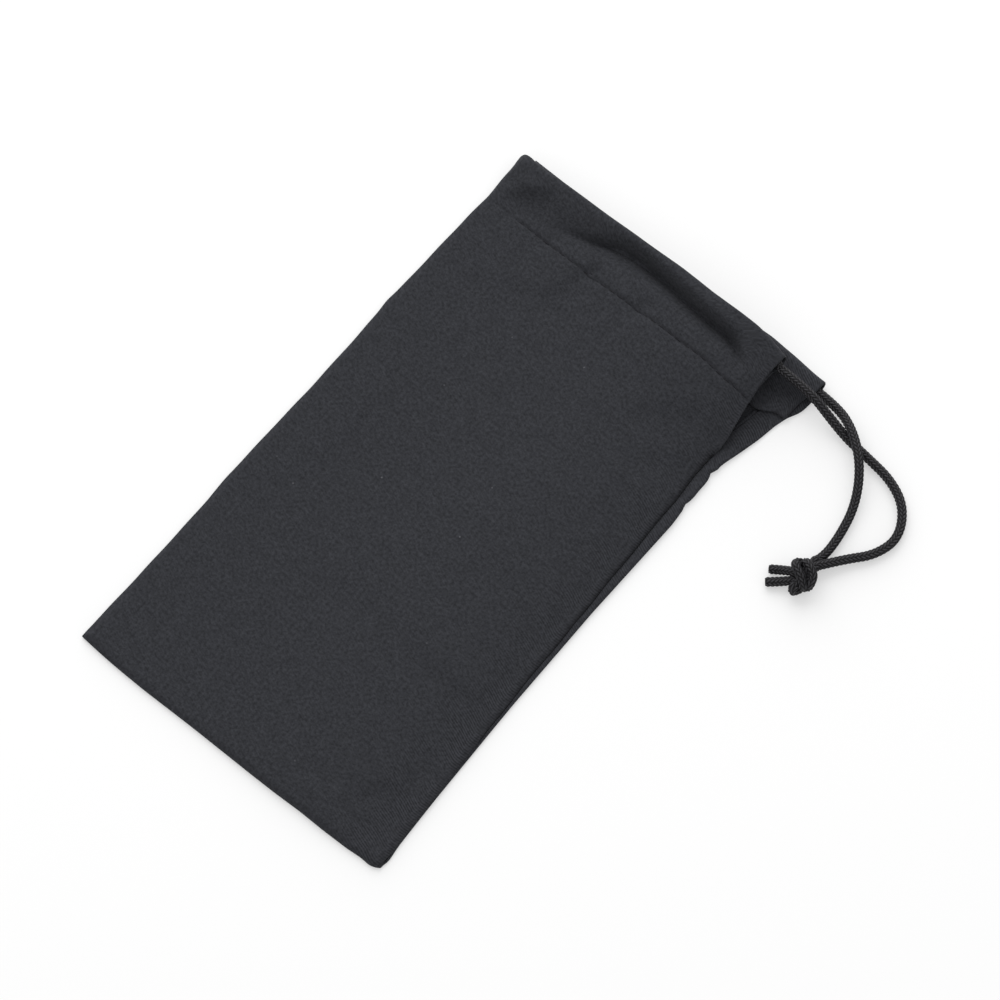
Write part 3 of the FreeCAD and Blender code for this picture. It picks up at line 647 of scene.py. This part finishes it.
def ridge_foot(x):
    """Where the step up to the casing's ridge begins and ends, and how steep it is: drawn
    out towards both ends of the mouth, and short and steep about the middle, where it
    crosses the casing at a slight slant."""
    steep = smooth((x + 34) / 30) * (1 - smooth((x - 25) / 12))
    middle = np.minimum(83.9 - 0.08 * (x - 2), 85.2)
    foot = 75.5 * (1 - steep) + (middle - 1.8) * steep
    top = 86.2 * (1 - steep) + (middle + 1.2) * steep
    return foot, top, steep


def ridge_share(x, y):
    """0 on the casing's flat tail, 1 on its ridge over the cord."""
    foot, top, _ = ridge_foot(x)
    return smooth((y - foot) / (top - foot))


def front_height(x, y, folds=True):
    """Middle of the front's upper cloth over any place, before its edges close.  folds adds
    the slack's folds and the groove of the topstitching."""
    ridge = ridge_share(x, y)
    panel_y = np.minimum(y, 77.0)
    s = np.clip((x - LEFT) / FRONT_WIDTH, 0, 1)
    low_left = LAYER / 2 + 2 * fold_radius(panel_y)
    low = low_left + (edge_height(panel_y) - low_left) * s + arch_rise(panel_y) * slack(x)
    high = 6.95 + 1.35 * s + 4.3 * share(x)
    height = low + (high - low) * ridge
    foot, _, steep = ridge_foot(x)
    ditch = np.where(y < foot, 2.8, 1.5)
    height = height - 2.4 * steep * np.exp(-((y - foot) / ditch) ** 2)
    height = height - 2.2 * steep * np.exp(-((y - foot - 0.7) / 0.95) ** 2)
    if folds:
        groove = 0.50 * np.exp(-((y - stitch_line(x)) / 0.5) ** 2)
        height = height - groove
        keep = smooth((x - outline_left(y) - 1.0) / 6.0) * smooth((y + 88.0) / 8.0)
        keep = keep * (1 - 0.8 * smooth((y - 80.5) / 4.0))
        height = height + relief(x, y) * keep
    return height


def seam_close(gap, reach):
    """Rounds a height off to nothing within reach of an edge, like a quarter circle."""
    t = np.clip(gap / reach, 0.0, 1.0)
    return np.sqrt(np.maximum(1 - (1 - t) ** 2, 0.0))


def cloth_lengths(points, middle):
    """The weave's own two lengths at every point of a grid: across, counted along each
    row from its middle column, and along, counted up each column."""
    across = np.linalg.norm(np.diff(points, axis=1), axis=2).cumsum(1)
    across = np.concatenate([np.zeros((len(points), 1)), across], 1)
    across = across - across[:, middle:middle + 1]
    along = np.linalg.norm(np.diff(points, axis=0), axis=2).cumsum(0)
    along = np.concatenate([np.zeros((1, points.shape[1])), along])
    return np.stack([across, along], -1)


def front_cloth():
    """The front half of the cloth, fold and casing included, as one grid.

    Across: from under the left fold, round it, over the arch, to the right-hand edge,
    which dives into the side seam and, above it, turns under as a free hem.
    Along: from the bottom seam over the panel and the casing's ridge, round the nose at
    the mouth and back underneath to the topstitching."""
    bottom = -86.5
    ridge_top = 86.0
    shut = 0.75           # depth of the casing where no cord fills it
    free = 99.0           # more room than the casing can take up
    closing = np.linspace(0, 1, 9)[:-1]
    panel = np.linspace(bottom, 70.2, 175)
    stitch = np.linspace(70.8, 73.7, 13)
    casing = np.linspace(74.4, ridge_top, 22)
    nose = np.linspace(0, math.pi, 12)[1:]
    under = np.linspace(85.0, 71.6, 18)
    turn = np.linspace(0, 1, 11)
    across = np.linspace(0, 1, 128)[1:]
    edge = np.linspace(0, 1, 9)[1:]
    radius = 1.85

    def one_row(y, folds=True):
        """Points across the upper side at one y, which way is into the casing at each, and
        how much room there is that way."""
        left = outline_left(y)
        right = seam_line(y)
        curl = fold_radius(y)
        angle = turn * (math.pi - math.atan(4 * float(arch_rise(y)) / FRONT_WIDTH))
        fold_x = left + curl - curl * np.sin(angle)
        fold_z = LAYER / 2 + curl - curl * np.cos(angle)
        x = fold_x[-1] + (right - fold_x[-1]) * across
        z = front_height(x, np.full_like(x, y), folds)
        z = z + (fold_z[-1] - front_height(fold_x[-1], y, folds)) * np.exp(-(x - fold_x[-1]) / 3.0)
        if folds:
            # Rounds the surface off above the layers that lie under it.
            low = 1.75
            z = low + np.logaddexp(0, (z - low) * 4) / 4
        slit = float(smooth((y - 55.0) / 3.0))
        z_seam = 1.05
        z = (z_seam + (z - z_seam) * seam_close(right - x, 1.3)) * (1 - slit) + z * slit
        swing = edge * math.pi
        edge_x = (right - 0.5 * edge) * (1 - slit) + (right + 0.24 * np.sin(swing)) * slit
        edge_z = (z_seam - 0.25 * edge) * (1 - slit) + (z[-1] - 0.24 + 0.24 * np.cos(swing)) * slit
        fade = np.exp(-(x - fold_x[-1]) / 3.0)
        into_x = np.concatenate([np.sin(angle), math.sin(angle[-1]) * fade, 0 * edge])
        into_z = np.concatenate([np.cos(angle), -np.sqrt(1 - (math.sin(angle[-1]) * fade) ** 2),
                                 0 * edge - 1])
        room = np.concatenate([0 * fold_x + curl - 0.12, 0 * x + free, 0 * edge + free])
        points = np.stack([np.concatenate([fold_x, x, edge_x]), np.full(len(room), float(y)),
                           np.concatenate([fold_z, z, edge_z])], 1)
        # Rows bend with the mouth's line near the top and with the bottom edge near it.
        points[:, 1] += mouth_bend(points[:, 0], y)
        points[:, 1] += bottom_bend(points[:, 0], y)
        return points, np.stack([into_x, 0 * into_x, into_z], 1), room

    rows = []
    first, _, _ = one_row(bottom)
    for t in closing:
        row = first.copy()
        base = outline_bottom(row[:, 0])
        row[:, 1] = base + (row[:, 1] - base) * (1 - math.cos(t * math.pi / 2))
        row[:, 2] = 0.62 + (row[:, 2] - 0.62) * math.sin(t * math.pi / 2)
        rows.append(row)
    for y in np.concatenate([panel, stitch, casing]):
        rows.append(one_row(float(y))[0])
    top_row, into, room = one_row(ridge_top)
    tight = 1 - 0.6 * np.exp(-((top_row[:, 0] - LEFT - 1) / 2.2) ** 2)
    depth = (np.minimum(2 * radius, room) * tight)[:, None]
    end_y = mouth_line(top_row[:, 0]) - radius * tight
    for angle in nose:
        row = top_row + into * depth * (1 - math.cos(angle)) / 2
        reach = smooth(angle / 1.2)
        row[:, 1] = top_row[:, 1] * (1 - reach) + end_y * reach + radius * tight * math.sin(angle)
        rows.append(row)
    for y in under:
        row, into, room = one_row(float(y), folds=False)
        ridge = ridge_share(row[:, 0], np.full(len(row), float(y)))
        depth = np.minimum(2 * radius * ridge + shut * (1 - ridge), room) * tight
        rows.append(row + into * depth[:, None])
    points = np.array(rows)
    return points, cloth_lengths(points, 70)


def back_mouth(x):
    """The back half's mouth edge, which shows only beyond the front's free end."""
    bow = 0.25 * np.exp(-((x - 33) / 3.5) ** 2)
    return BACK_MOUTH + 1.5 * smooth((x - 22) / 8) - 0.62 * smooth((x - 38) / 12) + bow


def roll_radius(y):
    """Half the height of the side margin's roll; in the slit the margin is only hemmed."""
    return eased(y, [-90, -60, -10, 30, 52, 57, 61, 90],
                 [0.23, 0.28, 0.42, 0.58, 0.60, 0.5, 0.23, 0.23], 1.5)


def back_cloth():
    """The back half of the cloth and its casing, as one grid.

    Across: flat on the floor from the fold to the right-hand edge, then rolled up and
    back to the side seam; above the seam the margin lies flat as a hem.
    Along: from the bottom seam to the mouth, round the nose over the cord, and back on
    the inside to the casing's topstitching."""
    bottom = -87.4
    radius = 1.7
    closing = np.linspace(0, 1, 5)[:-1]
    panel = np.linspace(bottom, 71.5, 150)
    casing = np.concatenate([STITCHED + np.linspace(-0.4, 0.4, 5), np.linspace(73.2, 86.4, 16)])
    nose = np.linspace(0, math.pi, 12)[1:]
    under = np.linspace(0, 1, 22)[1:]
    across = np.concatenate([np.linspace(0, 0.8, 40), np.linspace(0.8, 1, 36)[1:]])
    swing = np.linspace(0, math.pi, 11)[1:]
    home = np.linspace(0, 1, 15)[1:]

    def one_row(y, height):
        """Points of one row; height(x, y) lifts its flat part over one bare layer."""
        left = outline_left(y) + fold_radius(min(y, 88.0))
        right = float(outline_right(y))
        roll = float(roll_radius(y))
        x = left + (right - roll - left) * across
        flat = np.stack([x, np.full_like(x, y), LAYER / 2 + height(x, y)], 1)
        end = flat[-1]
        bend = np.stack([end[0] + roll * np.sin(swing), 0 * swing, roll * (1 - np.cos(swing))], 1)
        slit = float(smooth((y - 55.5) / 3.0))
        seam = float(seam_line(y)) + 0.30
        inner_x = seam * (1 - slit) + (end[0] - 5.6) * slit
        back_x = end[0] + (inner_x - end[0]) * home
        dip = (2 * roll - 0.75) * (1 - slit) * np.exp(-((back_x - seam) / 0.45) ** 2)
        back = np.stack([back_x, 0 * home, 2 * roll - np.maximum(dip, -0.1)], 1)
        turned = np.concatenate([bend, back])
        edge = np.stack([turned[:, 0], end[1] + 0 * turned[:, 2], end[2] + turned[:, 2]], 1)
        return np.concatenate([flat, edge])

    def rippled(x, y):
        """The panel's ripple beside the slit."""
        ripple = 0.10 * smooth((y - 52) / 8)
        return ripple * (1 + np.sin(y / 2.6 + x / 5.0)) * smooth((x - 36) / 8)

    def grooved(x, y):
        """The casing, drawn up off the floor along its stitches."""
        return 0 * x + 0.13 * math.exp(-((y - STITCHED) / 0.3) ** 2)

    rows = []
    for t in closing:
        row = one_row(bottom, rippled)
        base = outline_bottom(row[:, 0])
        angle = t * math.pi / 2
        row[:, 1] = base + (row[:, 1] - BOTTOM) * (1 - math.cos(angle))
        row[:, 2] = row[:, 2] + 0.30 * (1 - math.sin(angle))
        rows.append(row)
    for y in panel:
        rows.append(one_row(float(y), rippled))
    for y in casing:
        rows.append(one_row(float(y), grooved))
    for row, y in zip(rows[len(closing):], np.concatenate([panel, casing])):
        row[:, 1] = row[:, 1] + bottom_bend(row[:, 0], row[:, 1])
        row[:, 1] = row[:, 1] + (back_mouth(row[:, 0]) - BACK_MOUTH) * smooth((y - 76) / 8)
    last = rows[-1]
    centre = back_mouth(last[:, 0]) - radius
    thin = last[:, 2] - LAYER / 2
    for angle in nose:
        y = centre + (radius - thin) * math.sin(angle)
        z = LAYER / 2 + radius - (radius - thin) * math.cos(angle)
        rows.append(np.stack([last[:, 0], y, z], 1))
    turned = rows[-1]
    for t in under:
        y = turned[:, 1] * (1 - t) + 72.3 * t
        x = turned[:, 0]
        ridge = smooth((y - 79.6) / 3.6)
        tail = 1.35 + 0.25 * smooth((x - 40) / 6) * np.sin((y - 70) / 3.0)
        upper = LAYER / 2 + 2 * radius
        z = (tail - thin * 0.9) * (1 - ridge) + (upper - thin) * ridge
        z = np.maximum(z, 0.72)
        shift = -1.9 * smooth((x - 42) / 9) * smooth(2.6 * t - 0.4)
        y = y + 2.6 * t * smooth((x - 41) / 8)
        rows.append(np.stack([x + shift * smooth((x - 30) / 20), y, z], 1))
    points = np.array(rows)
    return points, cloth_lengths(points, 60) * [-1, 1]


def strip(across_from, across_to, height, places, along_y=True, columns=10):
    """A narrow strip of cloth: between two edges given as functions of the place along
    it, at a height given for (x, y)."""
    t = np.linspace(0, 1, columns)[None, :]
    start = across_from(places)[:, None]
    end = across_to(places)[:, None]
    cross = start + (end - start) * t
    long = np.broadcast_to(places[:, None], cross.shape)
    x, y = (cross, long) if along_y else (long, cross)
    points = np.stack([x, y, height(x, y)], -1)
    return points, np.stack([x, y], -1)


def threads(name, starts, ends, bulge, material, radius):
    """Short stitches between pairs of points, each a thread that dives at both ends and
    stands up by bulge in the middle."""
    t = np.linspace(0, 1, 9)
    arch = np.sin(t * math.pi) ** 0.6
    lines = starts[:, None] + (ends - starts)[:, None] * t[None, :, None]
    lines = lines + arch[None, :, None] * bulge[:, None]
    way = unit(ends - starts)[:, None]
    lift = unit(bulge)[:, None]
    side = np.cross(way, lift)
    turns = np.arange(6) * 2 * math.pi / 6
    size = radius * (0.55 + 0.45 * arch)
    rings = lines[:, :, None] + size[None, :, None, None] * (
        np.cos(turns)[None, None, :, None] * lift[:, :, None]
        + np.sin(turns)[None, None, :, None] * -side[:, :, None])
    return tube_piece(name, rings, material)


COIL_REACH = 1.1      # of the overlock to each side of its line
COIL_RISE = 0.34      # over and under it
COIL_PITCH = 3.0
COIL_THREAD = 0.1     # radius of the thread


def coil(name, line, material):
    """An overlock thread: a flat coil wound about a line."""
    line = spaced(line, 0.22)
    along = lengths_along(line)
    side, up = carried_frames(line)
    phase = 2 * math.pi * along / COIL_PITCH
    path = line + side * (np.cos(phase) * COIL_REACH)[:, None]
    path = path + up * (np.sin(phase) * COIL_RISE)[:, None]
    path = spaced(path, 0.3)
    side, up = carried_frames(path)
    turns = np.arange(5) * 2 * math.pi / 5
    rings = path[:, None] + COIL_THREAD * (np.cos(turns)[None, :, None] * side[:, None]
                                           + np.sin(turns)[None, :, None] * up[:, None])
    return tube_piece(name, rings[None], material)


# ---------------- cloth and thread

TWILL_COLOUR = "323337"
LINT_COLOUR = "8C8C92"
WAVE_LENGTH = 0.314   # of the wave texture's bands at scale 1
RIB_SPACING = 0.64


def make_twill():
    """Soft cotton twill, charcoal: fine slanting ribs, a dry matt face, faint mottling of
    the dye, and a few pale lint specks.  The weave's UVs are millimetres on the cloth.  The
    ribs stand 0.64 mm apart, close to the finest that the render shows, and real ones may
    be finer.  The grain stands for yarns and fuzz that are too fine to show, and is drawn
    about 0.9 mm across."""
    material, tree, out = new_material("cotton_twill")
    place = node(tree, "UVMap", {"uv_map": "weave"})
    slant = node(tree, "Mapping", feeds={
        "Vector": place.outputs[0], "Rotation": (0.0, 0.0, math.radians(112.5))})
    ribs = node(tree, "TexWave", {"wave_type": "BANDS", "bands_direction": "X"}, {
        "Vector": slant.outputs[0], "Scale": WAVE_LENGTH / RIB_SPACING, "Distortion": 0.6,
        "Detail": 2.0, "Detail Scale": 2.4})
    grain = node(tree, "TexNoise", feeds={
        "Vector": place.outputs[0], "Scale": 1.15, "Detail": 1.0, "Roughness": 0.7})
    mottle = node(tree, "TexNoise", feeds={
        "Vector": place.outputs[0], "Scale": 0.28, "Detail": 2.0})
    # Specks about 0.3 mm in radius, one to a patch 9 mm wide.
    lint = node(tree, "TexVoronoi", feeds={
        "Vector": place.outputs[0], "Scale": 0.11, "Randomness": 1.0})
    speck = node(tree, "MapRange", feeds={
        0: lint.outputs["Distance"], 1: 0.0, 2: 0.035, 3: 0.45, 4: 0.0})
    worn = node(tree, "TexNoise", feeds={
        "Vector": place.outputs[0], "Scale": 0.12, "Detail": 1.0})
    crisp = node(tree, "MapRange", feeds={
        0: worn.outputs["Fac"], 1: 0.38, 2: 0.62, 3: 0.4, 4: 1.6})
    # The ribs are faint over the panel and sharper towards the slit.  X is in metres.
    spot = node(tree, "TexCoord")
    split = node(tree, "SeparateXYZ", feeds={0: spot.outputs["Object"]})
    sharp = node(tree, "MapRange", feeds={
        0: split.outputs["X"], 1: 0.030, 2: 0.050, 3: 0.09, 4: 0.75})
    strength = node(tree, "Math", {"operation": "MULTIPLY"},
                    {0: crisp.outputs[0], 1: sharp.outputs[0]})
    speckle = node(tree, "MapRange", feeds={
        0: grain.outputs["Fac"], 1: 0.24, 2: 0.76, 3: 0.0, 4: 1.0})
    centred = node(tree, "Math", {"operation": "SUBTRACT"}, {0: ribs.outputs["Fac"], 1: 0.5})
    weave = node(tree, "Math", {"operation": "MULTIPLY_ADD"},
                 {0: centred.outputs[0], 1: strength.outputs[0], 2: speckle.outputs[0]})
    tint = node(tree, "MapRange", feeds={0: weave.outputs[0], 1: 0.0, 2: 1.0, 3: 0.62, 4: 1.30})
    cloud = node(tree, "MapRange", feeds={
        0: mottle.outputs["Fac"], 1: 0.3, 2: 0.7, 3: 0.93, 4: 1.07})
    level = node(tree, "Math", {"operation": "MULTIPLY"}, {0: tint.outputs[0], 1: cloud.outputs[0]})
    base = node(tree, "VectorMath", {"operation": "SCALE"},
                {0: linear(TWILL_COLOUR)[:3], "Scale": level.outputs[0]})
    dusted = node(tree, "MixRGB", feeds={
        0: speck.outputs[0], 1: base.outputs[0], 2: linear(LINT_COLOUR)})
    bump = node(tree, "Bump", feeds={
        "Strength": 0.5, "Distance": 0.00008, "Height": weave.outputs[0]})
    skin = node(tree, "BsdfPrincipled", feeds={
        "Base Color": dusted.outputs[0], "Roughness": 0.95, "IOR": 1.45,
        "Specular IOR Level": 0.15, "Sheen Weight": 0.03, "Sheen Roughness": 0.5,
        "Normal": bump.outputs[0]})
    tree.links.new(skin.outputs[0], out.inputs["Surface"])
    return material


def make_thread():
    """Spun polyester sewing thread, black, with the dull satin of twisted plies."""
    material, tree, out = new_material("sewing_thread_black")
    skin = node(tree, "BsdfPrincipled", feeds={
        "Base Color": linear("1D1C20"), "Roughness": 0.7, "IOR": 1.5, "Specular IOR Level": 0.2})
    tree.links.new(skin.outputs[0], out.inputs["Surface"])
    return material


# ---------------- sewn pieces

INNER_BACK = 0.66     # height of the turned-in layers, one on the other
INNER_FRONT = 1.08
STITCH_PITCH = 2.8
TOP_STITCH = 2.55     # length of a stitch on the front
STITCH = 2.3          # length of one inside or underneath
SEAM_HEIGHT = 0.87    # of the lockstitch, between the turned-in layers
RAW_EDGE = 0.92       # height of the overlock about their raw edges
UNDER_HEIGHT = 0.13   # of the back casing's stitches over the floor
SLIT_FOOT = 55.5      # where the side seam ends and the slit begins


def sewn(piece, *nodes):
    """Bakes a sewn piece's placement into its mesh and hides the CAD parts it stands in for."""
    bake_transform(piece)
    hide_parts(*nodes)
    return piece


def sewn_strip(node_name, edges, height, places, **shape):
    """A narrow strip of twill sewn into the pouch, between two edges."""
    points, uv = strip(*edges, height, places, **shape)
    return sewn(cloth_piece(node_name + "_twill", points, uv, twill), node_name)


def sewn_stitches(node_name, starts, ends, bulge, radius=THREAD / 2):
    """A row of stitches sewn into the pouch, each standing off its line by bulge."""
    bulges = np.tile(bulge, (len(starts), 1))
    return sewn(threads(node_name + "_thread", starts, ends, bulges, thread, radius), node_name)


def sewn_coil(node_name, line):
    """An overlock sewn over a raw edge."""
    return sewn(coil(node_name + "_thread", line, thread), node_name)


def beside(line, reach):
    """An edge that runs at reach to the left of a line."""
    return lambda y: line(y) - reach


def constant(height):
    """An edge or a layer that keeps one height."""
    return lambda x, *_: 0 * x + height


def wavy(base):
    """The height of a turned-in layer, which waves a little about its base."""
    return lambda x, y: base + 0.05 * np.sin(y / 5.0 + x / 3.0)


def row_at(x, y, z):
    """Places from three coordinates, each an array or one number for all."""
    return np.stack(np.broadcast_arrays(x, y, z), 1)


def on_casing(x, lean):
    """Places on the front's topstitching, lean beyond its line."""
    y = stitch_line(x) + mouth_bend(x, STITCHED) + lean
    return row_at(x, y, front_height(x, stitch_line(x)) + 0.02)


def under_hem(x, y):
    """The front's turned-in layer at the slit, under its upper cloth."""
    return front_height(x, y) - 0.5


twill = make_twill()
thread = make_thread()
front = sewn(cloth_piece("front_cloth", *front_cloth(), twill), "front_panel", "front_casing")
back = sewn(cloth_piece("back_cloth", *back_cloth(), twill), "back_panel", "back_casing")

side_y = np.linspace(-79.5, 57.0, 140)
side_edges = (beside(seam_line, 0.5), beside(seam_line, 7.4))
side_allowance_back = sewn_strip("side_allowance_back", side_edges, wavy(INNER_BACK), side_y)
side_allowance_front = sewn_strip("side_allowance_front", side_edges, wavy(INNER_FRONT), side_y)
low_x = np.linspace(-47.0, 46.5, 100)
low_edges = (constant(-86.6), constant(-80.2))
bottom_allowance_back = sewn_strip("bottom_allowance_back", low_edges, wavy(INNER_BACK), low_x,
                                   along_y=False)
bottom_allowance_front = sewn_strip("bottom_allowance_front", low_edges, wavy(INNER_FRONT), low_x,
                                    along_y=False)
slit_y = np.linspace(57.5, 72.2, 24)
slit_hem_front = sewn_strip("slit_hem_front", (beside(seam_line, 0.1), beside(seam_line, 5.6)),
                            under_hem, slit_y)
slit_hem_back = sewn_strip(
    "slit_hem_back", (beside(outline_right, 5.9), beside(outline_right, 6.6)),
    constant(INNER_BACK), slit_y, columns=4)

stitch_x = np.arange(-46.8, 37.3, STITCH_PITCH)
stitch_lean = 0.07 * np.sin(stitch_x * 1.7)
front_casing_stitches = sewn_stitches(
    "front_casing_stitches", on_casing(stitch_x, stitch_lean),
    on_casing(stitch_x + TOP_STITCH, -stitch_lean), [0, 0, 0.16])
under_x = np.arange(-44.0, 46.0, STITCH_PITCH)
back_casing_stitches = sewn_stitches(
    "back_casing_stitches", row_at(under_x, STITCHED, UNDER_HEIGHT),
    row_at(under_x + STITCH, STITCHED, UNDER_HEIGHT), [0, 0, -0.02], 0.1)
seam_y = np.arange(-86.0, 56.5, STITCH_PITCH)
side_seam_stitches = sewn_stitches(
    "side_seam_stitches", row_at(seam_line(seam_y) - 0.75, seam_y, SEAM_HEIGHT),
    row_at(seam_line(seam_y + STITCH) - 0.75, seam_y + STITCH, SEAM_HEIGHT), [0.05, 0, 0.1], 0.14)
bottom_x = np.arange(-46.0, 46.0, STITCH_PITCH)
bottom_seam_stitches = sewn_stitches(
    "bottom_seam_stitches", row_at(bottom_x, -86.9, SEAM_HEIGHT),
    row_at(bottom_x + STITCH, -86.9, SEAM_HEIGHT), [0, 0.05, 0.1], 0.14)
side_overlock = sewn_coil("side_overlock", row_at(seam_line(side_y) - 6.6, side_y, RAW_EDGE))
bottom_overlock = sewn_coil("bottom_overlock", row_at(low_x, -81.0, RAW_EDGE))
bar_y = 54.2 + np.arange(15) * 0.2
slit_bartack = sewn_stitches(
    "slit_bartack", row_at(seam_line(SLIT_FOOT) - 1.6, bar_y, 1.62),
    row_at(seam_line(SLIT_FOOT) + 0.3, bar_y + 0.1, 1.25), [0, 0, 0.25], 0.12)


def casing_route():
    """The cord's way through the casing: along the front's ridge, under its upper cloth,
    round the left end, and along the back's ridge to its open end."""
    front_x = np.array([36.0, 30.0, 18.0, 8.0, 1.0, -5.0, -11.0, -17.0, -27.0, -37.0, -43.0])
    front_y = mouth_line(front_x) - 1.75
    flank = np.linspace(-1.2, 0.8, 9)[:, None]
    flat_y = front_y + flank - (mouth_line(front_x) - MOUTH)
    cover = front_height(front_x + 0 * flank, flat_y) - 0.5
    front_z = (cover - np.sqrt((CORD / 2) ** 2 - flank ** 2)).min(0)
    front_z = np.minimum(front_z, 9.9)
    out = np.stack([front_x, front_y, front_z], 1)
    back = np.array([[-46.4, 84.6, 5.2], [-46.4, 84.6, 2.6], [-43.0, 84.8, 1.9], [-20.0, 85.6, 1.9],
                     [30.0, 86.05, 1.9]])
    return np.concatenate([[FRONT_EXIT], out, back, [BACK_EXIT]])


cased_line = cord_line(casing_route() * MM) / MM
cased = braid_piece("cased_braid", cased_line, braid, step=0.3, around=24)
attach(cased, "drawcord")
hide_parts("cord_in_casing")
